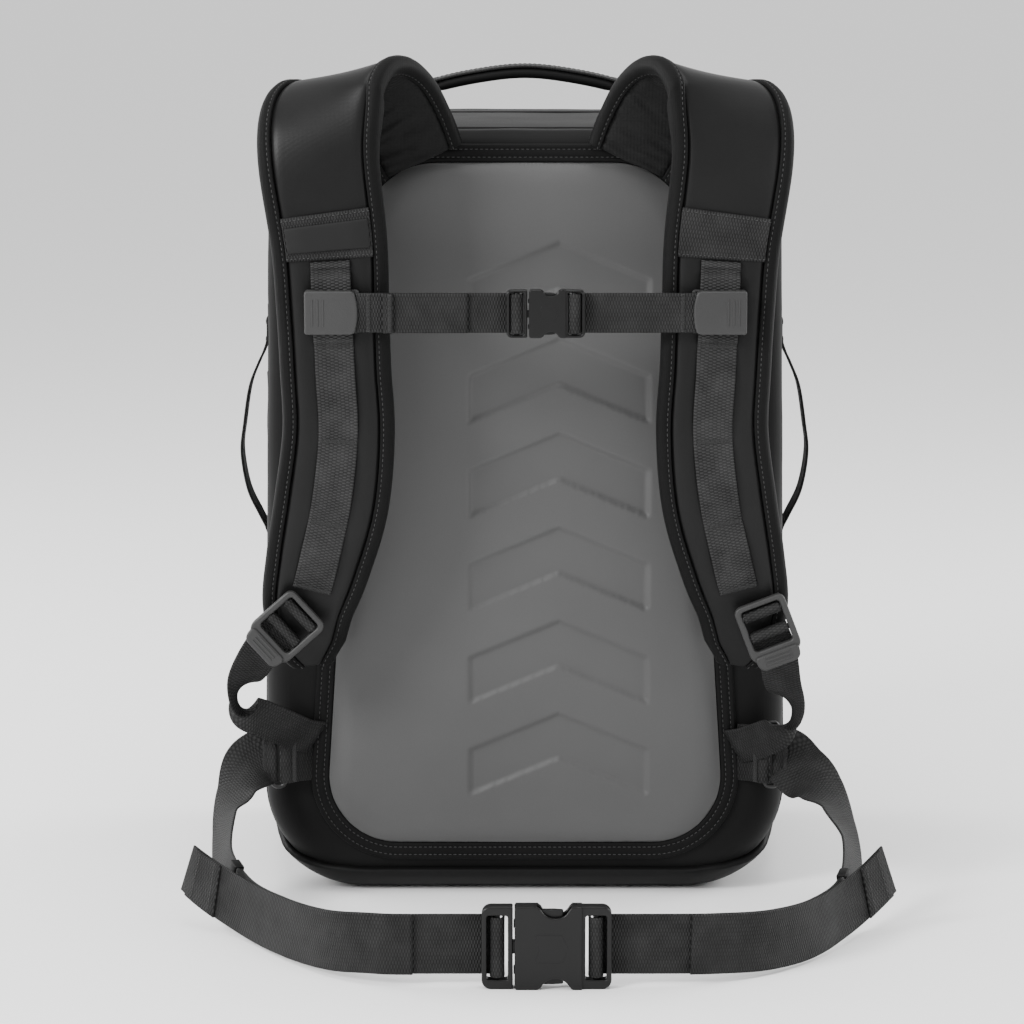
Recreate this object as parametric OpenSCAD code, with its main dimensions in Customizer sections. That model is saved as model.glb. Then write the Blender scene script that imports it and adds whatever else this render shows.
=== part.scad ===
// Backpack for tackle: a welded shell with a zipped front lid, a moulded foam back panel,
// a padded shoulder harness with a sternum strap, and a waist belt on hooks.
// +Z is up, -Y is the side that lies on the wearer's back, and the origin is the middle of
// the base's resting face. "Left" is -X and "right" is +X. Sizes are in millimetres.

/* [Body] */
// Width of the shell across its side gussets
body_w = 344; // [320:2:370]
// Height from the resting face to the top
body_h = 505; // [480:5:520]
// Depth of the shell from the back face to the lid face
body_d = 230; // [200:5:250]
// Thickness of the welded shell
shell_wall = 3; // [2:0.5:4]
// Thickness of the moulded base boot
boot_wall = 5; // [4:0.5:6]
// Radius of the two lower corners, seen from behind
foot_corner_r = 65; // [50:1:80]
// Radius of the two upper corners, seen from behind
top_corner_r = 62; // [50:1:75]
// Radius of the shell's lower edges
foot_edge_r = 24; // [18:1:28]
// Radius of the shell's upper edges
top_edge_r = 12; // [8:1:16]

/* [Back panel] */
// Width of the panel near the bottom
panel_foot_w = 258; // [220:2:266]
// Width of the panel near the top
panel_top_w = 212; // [180:2:220]
// Height of the panel's lower edge above the resting face
panel_z = 36; // [30:1:60]
// Gap between the panel's upper edge and the top of the shell
panel_top_gap = 20; // [16:1:40]
// How far the padded panel stands proud of the shell
panel_crown = 9; // [5:1:14]
// Width of the binding tape round the panel
binding_w = 12; // [8:1:14]

/* [Lid and zip] */
// Width of the lid
lid_w = 236; // [200:2:240]
// Height of the lid's hinge line above the resting face
lid_hinge_z = 150; // [120:5:200]
// Gap between the lid's upper edge and the top of the shell
lid_top_gap = 38; // [34:1:60]
// Radius of the lid's two upper corners
lid_corner_r = 58; // [30:1:70]
// Gap between the two halves of the zip
zip_gap = 1; // [0.8:0.1:1.6]
// Width of each half of the zip tape
zip_tape_w = 11; // [8:1:13]

/* [Webbing] */
// Width of the harness webbing
web_w = 25; // [20:1:28]
// Width of the waist belt webbing
belt_w = 38; // [32:1:40]
// Thickness of all webbing
web_t = 1.6; // [1.2:0.1:2]

/* [Shoulder pads] */
// Thickness of a shoulder pad
pad_t = 13; // [10:1:15]
// Width of the tape bound round a pad's edge
pad_edge_w = 9; // [7:1:11]

/* [Buckles] */
// Thickness of the sternum buckle
sternum_buckle_t = 8; // [7:0.5:10]
// Thickness of the waist belt buckle
belt_buckle_t = 12; // [10:0.5:14]
// Radius of every bar that webbing turns round
bar_r = 1.8; // [1.5:0.1:2.2]

/* [Hidden] */

fit = 0.3;          // gap between pieces that move past each other
sewn = 0.1;         // gap between pieces that are sewn or welded together
back_y = -body_d / 2;
front_y = body_d / 2;
big = 1000;

// ---------- shapes shared by several pieces ----------

// Points of an arc round [cx, cy], from angle a to angle b
function arc(cx, cy, r, a, b, n = 6) =
    [for (i = [0:n]) [cx + r * cos(a + (b - a) * i / n), cy + r * sin(a + (b - a) * i / n)]];

// A disc on its side whose two rims are rounded, the building block of the shell's form
module puck(r, depth, rim) {
    profile = concat([[0, -depth / 2]], arc(r - rim, rim - depth / 2, rim, -90, 0),
        arc(r - rim, depth / 2 - rim, rim, 0, 90), [[0, depth / 2]]);
    rotate([90, 0, 0]) rotate_extrude($fn = 48) polygon(profile);
}

// The closed form of the shell, moved in by inset
module body_form(inset) {
    foot_x = body_w / 2 - foot_corner_r;
    top_x = body_w / 2 - 6 - top_corner_r;
    hull() for (side = [-1, 1]) {
        translate([side * foot_x, 0, boot_wall + foot_corner_r])
            puck(foot_corner_r - inset, body_d - 2 * inset, foot_edge_r - inset);
        translate([side * top_x, 0, body_h - top_corner_r])
            puck(top_corner_r - inset, body_d - 2 * inset, top_edge_r - inset);
    }
}

module shell_slice(y0, y1) {
    intersection() {
        difference() {
            body_form(0);
            body_form(shell_wall);
        }
        translate([-big / 2, y0, -10]) cube([big, y1 - y0, big]);
    }
}

// A plate with rounded corners in the XZ plane, tapered like the back panel
module panel_plate(grow, y0, y1) {
    foot_r = 45;
    top_r = 50;
    panel_top_z = body_h - panel_top_gap;
    hull() for (side = [-1, 1]) {
        translate([side * (panel_foot_w / 2 - foot_r), y1, panel_z + foot_r])
            rotate([90, 0, 0]) cylinder(r = foot_r + grow, h = y1 - y0, $fn = 64);
        translate([side * (panel_top_w / 2 - top_r), y1, panel_top_z - top_r])
            rotate([90, 0, 0]) cylinder(r = top_r + grow, h = y1 - y0, $fn = 64);
    }
}

// The lid's outline, moved out by grow, from y0 to y1. It is square at the hinge line.
module lid_plate(grow, y0, y1) {
    w = lid_w + 2 * grow;
    r = lid_corner_r + grow;
    h = body_h - lid_top_gap - lid_hinge_z + grow;
    translate([0, y1, lid_hinge_z]) rotate([90, 0, 0]) linear_extrude(y1 - y0) {
        translate([-w / 2, 0]) square([w, h - r]);
        translate([r - w / 2, 0]) square([w - 2 * r, h]);
        for (side = [-1, 1]) translate([side * (w / 2 - r), h - r]) circle(r, $fn = 96);
    }
}

// ---------- swept strips ----------
// A path is a list of [x, y, z, face normal x, y, z, width, thickness].
// A station is [centre, width direction, face normal, width, thickness].

function cr(a, b, c, d, t) = 0.5 * (2 * b + (c - a) * t + (2 * a - 5 * b + 4 * c - d) * t * t
    + (3 * b - a - 3 * c + d) * t * t * t);
function along(p, u) = let (n = len(p) - 1, i = min(floor(u), n - 1))
    cr(p[max(i - 1, 0)], p[i], p[i + 1], p[min(i + 2, n)], u - i);
function place(q) = [q[0], q[1], q[2]];
function facing(q) = [q[3], q[4], q[5]];
function unit(v) = v / norm(v);
function station(p, u) = let (n = len(p) - 1, q = along(p, u),
    run = unit(place(along(p, min(u + 0.02, n))) - place(along(p, max(u - 0.02, 0)))),
    face = unit(facing(q) - (facing(q) * run) * run)) [place(q), cross(face, run), face, q[6], q[7]];
function stations(p, u0, u1, steps) = [for (i = [0:steps]) station(p, u0 + (u1 - u0) * i / steps)];
// The same station moved across its width and off its face, with a new width and thickness
function moved(s, across, off, w, t) = [s[0] + across * s[1] + off * s[2], s[1], s[2], w, t];

// A profile point is [share of half the width, share of half the thickness, extra across, extra off]
STRIP = [[-1, -1, 0, 0], [1, -1, 0, 0], [1, 1, 0, 0], [-1, 1, 0, 0]];

module sweep(sts, profile = STRIP) {
    m = len(profile);
    n = len(sts);
    points = [for (s = sts) for (c = profile)
        s[0] + (c[0] * s[3] / 2 + c[2]) * s[1] + (c[1] * s[4] / 2 + c[3]) * s[2]];
    sides = [for (i = [0:n - 2]) for (j = [0:m - 1]) let (a = i * m + j, b = i * m + (j + 1) % m)
        each [[a, b, b + m], [a, b + m, a + m]]];
    ends = concat([for (j = [1:m - 2]) [0, j + 1, j]],
        [for (j = [1:m - 2]) [(n - 1) * m, (n - 1) * m + j, (n - 1) * m + j + 1]]);
    polyhedron(points, concat(sides, ends));
}

// Runs its children for the right side as drawn, or mirrored for the left
module on_side(side) {
    if (side > 0) children();
    else mirror([1, 0, 0]) children();
}

// ---------- shell, base and lining ----------

seam_rear = back_y + 30;
seam_front = front_y - 45;

module rear_shell() color("#1b1b1d") shell_slice(back_y - 1, seam_rear - sewn);

module side_gusset() color("#1b1b1d") shell_slice(seam_rear, seam_front - sewn);

module front_shell() color("#1b1b1d") difference() {
    shell_slice(seam_front, front_y + 1);
    lid_plate(zip_gap, front_y - 20, front_y + 20);
}

// The boot's rim rises from the back towards the lid
module base_boot() color("#161617") difference() {
    intersection() {
        body_form(-boot_wall);
        translate([-big / 2, 0, 0]) rotate([90, 0, 90]) linear_extrude(big)
            polygon([[back_y - 9, -1], [back_y - 9, 12], [back_y + 30, 30], [front_y - 60, 72],
                [front_y + 9, 78], [front_y + 9, -1]]);
    }
    body_form(-sewn);
}

module frame_sheet() color("#d8d8d4")
    panel_plate(-14, back_y + shell_wall + sewn, back_y + shell_wall + 1.6);

// An open-topped sleeve on the inside of the rear wall
module inner_sleeve() color("#3a3a3c") {
    sleeve_w = 214;
    sleeve_z = 70;
    sleeve_h = 250;
    sleeve_gap = 11;
    y0 = back_y + shell_wall + 1.6 + sewn;
    difference() {
        translate([-sleeve_w / 2, y0, sleeve_z]) cube([sleeve_w, sleeve_gap + 1.2, sleeve_h]);
        translate([1.2 - sleeve_w / 2, y0 - 1, sleeve_z + 1.2])
            cube([sleeve_w - 2.4, sleeve_gap + 1, sleeve_h]);
    }
}

// ---------- back panel ----------

module back_panel() color("#5a5a5c") hull() {
    panel_plate(-sewn, back_y - 3, back_y - sewn);
    panel_plate(-16, back_y - panel_crown, back_y - 3);
}

module panel_binding() color("#131314") difference() {
    panel_plate(binding_w, back_y - 2.6, back_y - sewn);
    panel_plate(sewn, back_y - 9, back_y + 9);
}

// ---------- lid and zip ----------

lid_y = front_y;
chain_w = 3.6;      // width of each half of the zip's teeth
chain_t = 2.2;
tape_t = 1.2;
leg_x = lid_w / 2 + zip_gap / 2;

module lid_panel() color("#1b1b1d") {
    lid_plate(0, lid_y - shell_wall, lid_y);
}

module u_band(inner, outer, y0, y1) {
    difference() {
        lid_plate(outer, y0, y1);
        translate([0, 0, -0.01]) lid_plate(inner, y0 - 1, y1 + 1);
    }
}

module zip_tape_fixed() color("#0e0e0f") {
    union() {
        u_band(zip_gap, zip_gap + zip_tape_w, lid_y + sewn, lid_y + tape_t);
        u_band(zip_gap, zip_gap + chain_w, lid_y + tape_t - 0.01, lid_y + tape_t + chain_t);
    }
}

module zip_tape_lid() color("#0e0e0f") intersection() {
    union() {
        u_band(-zip_tape_w, 0, lid_y + sewn, lid_y + tape_t);
        u_band(-chain_w, 0, lid_y + tape_t - 0.01, lid_y + tape_t + chain_t);
    }
    // it stops short of the hinge line, so that it clears the shell when the lid is open
    translate([-big / 2, 0, lid_hinge_z + 6]) cube([big, big, big]);
}

// Lashing webbing down the lid, in stitched bays that stand off the cloth
lash_bays = 6;
module lash_strip(x, y, z0, z1) {
    bay = (z1 - z0) / lash_bays;
    stand = 2.4;
    path = [for (i = [0:lash_bays * 2]) let (off = i % 2 == 0 ? 0 : stand)
        [x, y + web_t / 2 + sewn + off, z0 + i * bay / 2, 0, 1, 0, web_w, web_t]];
    sweep(stations(path, 0, lash_bays * 2, lash_bays * 8));
}

module lid_lash() color("#232325") for (side = [-1, 1])
    lash_strip(side * lid_w * 0.24, lid_y, lid_hinge_z + 14, body_h - lid_top_gap - 16);

slider_z = lid_hinge_z + 40;
slider_w = 13;
slider_l = 20;
slider_plate_y = lid_y + tape_t + chain_t + fit;
pull_pin_r = 1.4;
pull_barrel_r = pull_pin_r + 1.6;
pull_pin_y = slider_plate_y + 2 + pull_barrel_r + fit;
pull_pin_z = slider_z + slider_l * 0.62;

module zip_slider() color("#2a2a2c") translate([leg_x, 0, 0]) union() {
    translate([-slider_w / 2, slider_plate_y, slider_z]) cube([slider_w, 2, slider_l]);
    for (side = [-1, 1]) translate([side * (slider_w / 2 - 1) - 1, lid_y + tape_t + fit, slider_z])
        cube([2, chain_t + fit * 2, slider_l]);
    for (side = [-1, 1]) translate([side * 4 - 1, slider_plate_y + 1.9, pull_pin_z - 2.2])
        cube([2, pull_pin_y + pull_pin_r + 0.4 - slider_plate_y - 1.9, 4.4]);
    translate([-4, pull_pin_y, pull_pin_z]) rotate([0, 90, 0]) cylinder(r = pull_pin_r, h = 8, $fn = 32);
}

// The pull hangs from the slider's pin
module zip_pull() color("#202022") translate([leg_x, pull_pin_y, pull_pin_z]) difference() {
    union() {
        rotate([0, 90, 0]) translate([0, 0, -2.6]) cylinder(r = pull_barrel_r, h = 5.2, $fn = 32);
        translate([-2.6, 1, -8]) cube([5.2, 2, 8]);
        translate([-5.5, 1, -34]) cube([11, 3, 27]);
    }
    rotate([0, 90, 0]) translate([0, 0, -5]) cylinder(r = pull_pin_r + 0.08, h = 10, $fn = 32);
}

// Moulded caps over the two lower ends of the zip
module zip_end_caps() color("#161617") for (side = [-1, 1])
    translate([side * leg_x - 9, lid_y + sewn, lid_hinge_z - 17]) cube([18, 3.4, 15]);

// ---------- top and side handles ----------

handle_y = -45;
handle_half = 80;
handle_axis_z = body_h + 8;
handle_path = [
    [-handle_half, handle_y, handle_axis_z + 2, -1, 0, 0.05, web_w, web_t],
    [-76, handle_y, body_h + 19, -0.85, 0, 0.5, web_w, web_t],
    [-61, handle_y, body_h + 28, -0.4, 0, 0.9, web_w, web_t],
    [-30, handle_y, body_h + 35, -0.15, 0, 1, web_w, web_t],
    [0, handle_y, body_h + 38, 0, 0, 1, web_w, web_t],
    [30, handle_y, body_h + 35, 0.15, 0, 1, web_w, web_t],
    [61, handle_y, body_h + 28, 0.4, 0, 0.9, web_w, web_t],
    [76, handle_y, body_h + 19, 0.85, 0, 0.5, web_w, web_t],
    [handle_half, handle_y, handle_axis_z + 2, 1, 0, 0.05, web_w, web_t]];

module top_handle_webbing() color("#232325") sweep(stations(handle_path, 0, 8, 40));

// The padded sleeve under the webbing, sewn along both sides
module top_handle_grip() color("#131314") {
    grip_t = 7;
    sweep([for (s = stations(handle_path, 2, 6, 28))
        moved(s, 0, -(web_t + grip_t) / 2 - sewn, web_w + 3, grip_t)]);
}

module top_handle_anchors() color("#232325") for (side = [-1, 1]) {
    tab_l = 26;
    translate([side * handle_half - tab_l / 2, handle_y - web_w / 2, body_h + sewn])
        cube([tab_l, web_w, 1.6]);
    // the upright fold the handle is sewn to
    translate([side * handle_half - 1.6, handle_y - web_w / 2, body_h + 1.6]) cube([3.2, web_w, 3]);
}

side_y = 0;                       // depth at which the side handles run
side_x = body_w / 2 + sewn;       // the gusset's outer face
side_swing_x = body_w / 2 + 8;
grab_top_z = 350;
grab_foot_z = 228;
stub = 9;                         // height of a side handle's fixed ends
grab_path = [
    [side_swing_x, side_y, grab_top_z - stub, 1, 0, 0.4, web_w, web_t],
    [side_x + 14, side_y, 325, 1, 0, 0.3, web_w, web_t],
    [side_x + 18, side_y, 300, 1, 0, 0.1, web_w, web_t],
    [side_x + 20, side_y, 280, 1, 0, -0.05, web_w, web_t],
    [side_x + 16, side_y, 255, 1, 0, -0.3, web_w, web_t],
    [side_swing_x, side_y, grab_foot_z + stub, 1, 0, -0.5, web_w, web_t]];

module side_handle(side) color("#232325") on_side(side) intersection() {
    sweep(stations(grab_path, 0, 5, 25));
    // both ends are cut level, so that they turn past the fixed ends
    translate([0, -big / 2, grab_foot_z + stub + 1.2]) cube([big, big, grab_top_z - grab_foot_z - 2 * stub - 2.4]);
}

module side_handle_anchors() color("#232325") for (side = [-1, 1]) on_side(side) {
    for (z = [grab_foot_z, grab_top_z - stub]) translate([side_x + 3, side_y - web_w / 2, z])
        cube([side_swing_x - side_x - 1, web_w, stub]);
}

// Lashing webbing down each gusset, under the side handle
module side_lash() color("#2b2b2d") for (side = [-1, 1]) on_side(side) {
    z0 = 176;
    z1 = 372;
    bays = 4;
    bay = (z1 - z0) / bays;
    path = [for (i = [0:bays * 2]) let (off = i % 2 == 0 ? 0 : 0.8)
        [side_x + sewn + web_t / 2 + off, side_y, z0 + i * bay / 2, 1, 0, 0, web_w, web_t]];
    sweep(stations(path, 0, bays * 2, bays * 6));
}

// ---------- shoulder harness ----------

clip_x = 121;
strap_y = -65;      // middle of the pads under the sternum clips, from the back face
lock_z = 202;       // height of the ladder locks' upper bars

// Paths on the harness side are chosen as distances from the back face
function from_back(path, z) = [for (p = path) [p[0], back_y + p[1], z + p[2], p[3], p[4], p[5], p[6], p[7]]];

// The left pad's centre line. Its upper part is placed from the top of the shell.
strap_x = panel_top_w / 2 - 38;     // where the pads leave the panel's upper seam
strap_upper = [
    [-strap_x, -6.7, -20, 0, 1, 0, 62, 6],
    [-strap_x - 9, -9, -1, -0.03, 1, 0.05, 66, 8],
    [-strap_x - 22, -16, 18, -0.1, 0.85, 0.45, 72, 11],
    [-108, -28, 31, -0.25, 0.25, 0.92, 78, pad_t],
    [-122, -44, 28, -0.3, -0.4, 0.86, 80, pad_t],
    [-128, -57, 11, -0.2, -0.85, 0.5, 79, pad_t],
    [-129, -64, -15, -0.08, -0.98, 0.18, 76, pad_t],
    [-clip_x - 2, strap_y, -65, 0, -1, 0, 73, pad_t],
    [-clip_x, strap_y, -105, 0, -1, 0, 71, pad_t],
    [-clip_x + 1.5, strap_y, -145, 0, -1, 0, 70, pad_t],
    [-clip_x + 3, -63, -185, 0, -1, -0.04, 71, pad_t]];
strap_lower = [
    [-123, -58, lock_z + 73, 0, -1, -0.08, 73, pad_t],
    [-132, -51, lock_z + 33, 0, -1, -0.12, 68, pad_t],
    [-139, -45, lock_z + 3, 0, -1, -0.14, 60, pad_t],
    [-139, -41.5, lock_z - 22, 0, -1, -0.14, 47, pad_t - 1],
    [-137, -39.5, lock_z - 37, 0, -1, -0.14, 28, pad_t - 3]];
strap_path = concat(from_back(strap_upper, body_h), from_back(strap_lower, 0));
strap_end = len(strap_path) - 1;

PAD_CORE = [[-1, -1, pad_edge_w + 1, 0], [1, -1, -pad_edge_w - 1, 0],
    [1, 1, -pad_edge_w - 1, 0], [-1, 1, pad_edge_w + 1, 0]];
// The tape's round outside edge, for the pad's +W side
EDGE_PLUS = [[1, -1, -pad_edge_w, 0.6], [1, -1, -3, 0.6], [1, 0, 0, -2], [1, 0, 0, 2],
    [1, 1, -3, 0.6], [1, 1, -pad_edge_w, 0.6]];
EDGE_MINUS = [for (i = [5:-1:0]) let (c = EDGE_PLUS[i]) [-c[0], c[1], -c[2], c[3]]];

module strap_pad(side) color("#1a1a1b") on_side(-side)
    sweep(stations(strap_path, 0, strap_end, 60), PAD_CORE);

module strap_tapes(side) color("#131314") on_side(-side) {
    sts = stations(strap_path, 0, strap_end, 60);
    sweep(sts, EDGE_PLUS);
    sweep(sts, EDGE_MINUS);
}

// Lashing webbing down a pad's face. The second bay is long enough for the sternum clip to slide.
lash_from = 7.25;
lash_knots = [7.25, 7.4, 8.6, 10.1, 11.3, 12.55];
clip_stand = 4.2;   // how far the webbing stands off the pad under the clip
clip_ramp = 14;     // how steeply it rises there, as a share of the bay
function stand_off(u) = let (bay = [for (i = [0:len(lash_knots) - 2])
        if (u >= lash_knots[i] && u <= lash_knots[i + 1]) i][0],
    share = (u - lash_knots[bay]) / (lash_knots[bay + 1] - lash_knots[bay]))
    bay == 1 ? clip_stand * min(1, clip_ramp * min(share, 1 - share)) : 2 * sin(180 * share);

module strap_lash() color("#2b2b2d") for (side = [-1, 1]) on_side(-side)
    sweep([for (i = [0:90]) let (u = lash_from + (lash_knots[5] - lash_from) * i / 90, s = station(strap_path, u))
        moved(s, 0, pad_t / 2 + web_t / 2 + fit + stand_off(u), web_w, web_t)]);

// A band of webbing sewn across the pad, over the upper end of the lashing webbing
band_u = 6.62;
module strap_bands() color("#232325") for (side = [-1, 1]) on_side(-side)
    sweep([for (s = stations(strap_path, band_u, band_u + 0.6, 4))
        moved(s, 0, pad_t / 2 + 0.8 + 0.7, s[3] - 2 * pad_edge_w, 1.6)]);

// A plain rubber patch on the left band
module blank_patch() color("#303033")
    sweep([for (s = stations(strap_path, band_u + 0.12, band_u + 0.48, 4))
        moved(s, 0, pad_t / 2 + 1.6 + 0.6 + 0.7 + 2 * sewn, s[3] - 2 * pad_edge_w - 3, 1.2)]);

// ---------- ladder locks ----------
// A lock is drawn flat: bars along X, the lip towards -Z, its face towards -Y,
// with the origin on the upper bar, which the pad's sewn loop holds.

lock_w = web_w + 9;
lock_l = 36;
lock_t = 6;
lock_bar_z = -14;       // the lower bar, which the adjuster webbing wraps
wrap_r = bar_r + 0.1 + web_t;

// Each lock's upper bar, in front of the pad's face, and how far the lock leans outwards
lock_at_left = [-144, back_y - 54 - pad_t / 2, lock_z - 1];
lock_at_right = [151, back_y - 54 - pad_t / 2, lock_z + 1];
lock_lean_left = 48;
lock_lean_right = 21;

module at_lock(side) {
    translate(side < 0 ? lock_at_left : lock_at_right)
        rotate([0, side < 0 ? lock_lean_left : -lock_lean_right, 0]) children();
}

// A point in a lock's own plane: down by d along the lock and off by y behind its bar
function lock_point(side, d, y) = side < 0
    ? lock_at_left + [-d * sin(lock_lean_left), y, -d * cos(lock_lean_left)]
    : lock_at_right + [d * sin(lock_lean_right), y, -d * cos(lock_lean_right)];

module lock_frame() {
    rail = 4.2;
    union() {
        for (x = [-lock_w / 2, lock_w / 2 - rail])
            translate([x, -lock_t / 2, 6 - lock_l]) cube([rail, lock_t, lock_l]);
        translate([-lock_w / 2, -lock_t / 2, 5.5]) cube([lock_w, lock_t, 2.7]);
        // the lip that is lifted to let the webbing run
        translate([-lock_w / 2, -lock_t / 2 - 1, -lock_l + 5]) cube([lock_w, lock_t - 1, 7]);
        translate([-lock_w / 2 + 4, -lock_t / 2 - 2, -lock_l]) cube([lock_w - 8, lock_t - 1.5, 9]);
        for (z = [0, lock_bar_z]) translate([-lock_w / 2 + 1, 0, z]) rotate([0, 90, 0])
            cylinder(r = bar_r, h = lock_w - 2, $fn = 40);
    }
}

module webbing_wrap(w, tail) {
    // webbing turned round a bar that lies along X, open at the back
    difference() {
        union() {
            rotate([0, 90, 0]) cylinder(r = wrap_r, h = w, center = true, $fn = 40);
            translate([-w / 2, 0, -wrap_r]) cube([w, tail, 2 * wrap_r]);
        }
        rotate([0, 90, 0]) cylinder(r = bar_r + 0.1, h = w + 1, center = true, $fn = 40);
        translate([-w / 2 - 1, 0, -bar_r - 0.1]) cube([w + 2, wrap_r + tail, 2 * bar_r + 0.2]);
    }
}

module ladder_lock(side) color("#3a3a3c") at_lock(side) lock_frame();

module adjuster_wrap(side) color("#232325") at_lock(side)
    translate([0, 0, lock_bar_z]) webbing_wrap(web_w, lock_t / 2 + 0.3);

// The loop at the end of the pad's webbing that holds the upper bar. The bar turns in it.
module lock_loops() color("#232325") for (side = [-1, 1]) at_lock(side)
    webbing_wrap(web_w - 0.6, 6);

// Webbing from the lock's lower bar to the seam beside the back panel. It turns over once.
seam_x = panel_foot_w / 2 + binding_w;
hook_x1 = seam_x + 17;      // a belt hook's bar in its tab
hook_x2 = hook_x1 + 8;      // and its bar in the belt's folded end
lower_off = lock_t / 2 + 1.1 + web_t / 2;
function web_end(p, nx) = [p[0], p[1], p[2], nx, 1, 0, web_w, web_t];
lower_left_path = [
    web_end(lock_point(-1, 14, lower_off), 0),
    web_end(lock_point(-1, 30, lower_off), -0.1),
    [-179, back_y - 48, 160, -0.45, 0.85, -0.1, web_w, web_t],
    [-187, back_y - 40, 144, -1, 0.2, 0, web_w, web_t],
    [-183, back_y - 31, 132, -0.6, -0.8, 0.2, web_w, web_t],
    [-170, back_y - 26, 125, -0.3, -1, 0.15, web_w, web_t],
    [-hook_x1, back_y - 19.6, 118, 0, -1, 0, web_w, web_t],
    [-seam_x - 5, back_y - 9.5, 110, 0, -1, 0, web_w, web_t]];
lower_right_path = [
    web_end(lock_point(1, 14, lower_off), 0),
    web_end(lock_point(1, 30, lower_off), 0.1),
    [166, back_y - 49, 153, 0.35, 0.9, 0, web_w, web_t],
    [173, back_y - 38, 138, 0.8, 0.6, 0, web_w, web_t],
    [174, back_y - 29, 127, 1, -0.1, 0, web_w, web_t],
    [168, back_y - 25, 118, 0.7, -0.8, 0.1, web_w, web_t],
    [hook_x1, back_y - 19.5, 111, 0, -1, 0, web_w, web_t],
    [seam_x + 5, back_y - 9.5, 104, 0, -1, 0, web_w, web_t]];

module lower_webbing_left() color("#232325") sweep(stations(lower_left_path, 0, 7, 42));
module lower_webbing_right() color("#232325") sweep(stations(lower_right_path, 0, 7, 42));

// ---------- side-release buckles ----------
// A buckle is drawn with its pull along X, its width along Z and its face towards -Y.
// x = 0 is the mouth of the female half. Lengths scale with its width.

ladder_share = 0.72;    // thickness of a buckle's frame as a share of its body's

module ladder_end(w, t, slot_w, near, far) {
    // frame with one round bar in its window, from x = near to x = far
    bar_x = (near + far) / 2;
    difference() {
        translate([min(near, far), -t / 2, -w / 2]) cube([abs(far - near), t, w]);
        translate([min(near, far) + 2.6, -t, -slot_w / 2]) cube([abs(far - near) - 5.2, 2 * t, slot_w]);
    }
    translate([bar_x, 0, 0]) cylinder(r = bar_r, h = slot_w + 2, center = true, $fn = 40);
}

module female_half(w, l, t, slot_w, ladder_l) {
    plate = t * 0.2;
    scoop_r = l * 0.24;
    scoop_x = l * 0.62;
    difference() {
        translate([0, -t / 2, -w / 2]) cube([l, t, w]);
        // the pocket for the prongs, open at the mouth and at the two scoops
        translate([-1, -t / 2 + plate, -w / 2 + plate]) cube([l * 0.8 + 1, t - 2 * plate, w - 2 * plate]);
        for (side = [-1, 1]) translate([scoop_x, 0, side * (w / 2 + scoop_r * 0.25)]) rotate([90, 0, 0])
            cylinder(r = scoop_r, h = t + 2, center = true, $fn = 48);
    }
    translate([l - 0.01, 0, 0]) intersection() {
        ladder_end(w, t * ladder_share, slot_w, 0, ladder_l);
        translate([0, -t, -w]) cube([ladder_l, 2 * t, 2 * w]);
    }
}

// The male half's ladder frame, its shoulder and its middle guide
module male_half(w, l, t, slot_w, ladder_l, play) {
    ladder_end(w, t * ladder_share, slot_w, -ladder_l - play, -play);
    translate([-play - 2, -t * ladder_share / 2, -w / 2]) cube([2, t * ladder_share, w]);
    guide_h = w * 0.16;
    translate([-play - 0.01, -t * 0.2, -guide_h / 2]) cube([l * 0.7, t * 0.4, guide_h]);
}

// One side prong of the male half. side is 1 for the upper prong.
module prong(w, l, t, side, play) {
    plate = t * 0.2;
    room = w / 2 - plate - fit;       // the pocket's half height less a running gap
    arm_t = w * 0.09;
    root = room - arm_t * 2.4;
    tip_x = l * 0.74;
    translate([0, t * 0.22, 0]) rotate([90, 0, 0]) linear_extrude(t * 0.44)
        polygon([[-play + 0.4, side * root], [l * 0.36, side * (root + arm_t * 0.6)],
            [l * 0.5, side * (room - arm_t * 1.1)], [tip_x, side * (room - arm_t * 1.3)],
            [tip_x, side * (room - 0.4)], [l * 0.6, side * room], [l * 0.44, side * room],
            [l * 0.3, side * (root + arm_t * 1.7)], [-play + 0.4, side * (root + arm_t)]]);
}

// sternum clips
clip_w = 34;
clip_h = web_w + 2.4;
clip_slot_w = web_w + 4;
lash_y = back_y + strap_y - pad_t / 2 - fit - clip_stand - web_t / 2;   // middle of the webbing under a clip
clip_back = 1.5;
// sternum buckle
st_z = body_h - 107;
st_y = lash_y - 9.2;
st_mouth = 2;
st_w = web_w + 5;
st_l = 22;
st_ladder = 13;
st_play = 1;
st_pull = 22;       // how far the male half is drawn out to release it
// waist belt buckle
bb_w = belt_w + 14;
bb_z = bb_w / 2;        // the buckle stands on the floor
bb_y = back_y - 206;
bb_mouth = -7;
bb_l = 40;
bb_ladder = 19;
bb_play = 1;
bb_pull = 36;

module at_sternum() translate([st_mouth, st_y, st_z]) children();
module at_belt_buckle() translate([bb_mouth, bb_y, bb_z]) children();

module sternum_female() color("#1d1d1f") at_sternum()
    female_half(st_w, st_l, sternum_buckle_t, web_w + 1, st_ladder);
module sternum_male() color("#1d1d1f") at_sternum()
    male_half(st_w, st_l, sternum_buckle_t, web_w + 1, st_ladder, st_play);
module sternum_prong(side) color("#1d1d1f") at_sternum()
    prong(st_w, st_l, sternum_buckle_t, side, st_play);

module belt_female() color("#1d1d1f") at_belt_buckle()
    female_half(bb_w, bb_l, belt_buckle_t, belt_w + 2, bb_ladder);
module belt_male() color("#1d1d1f") at_belt_buckle()
    male_half(bb_w, bb_l, belt_buckle_t, belt_w + 2, bb_ladder, bb_play);
module belt_prong(side) color("#1d1d1f") at_belt_buckle()
    prong(bb_w, bb_l, belt_buckle_t, side, bb_play);

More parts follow.
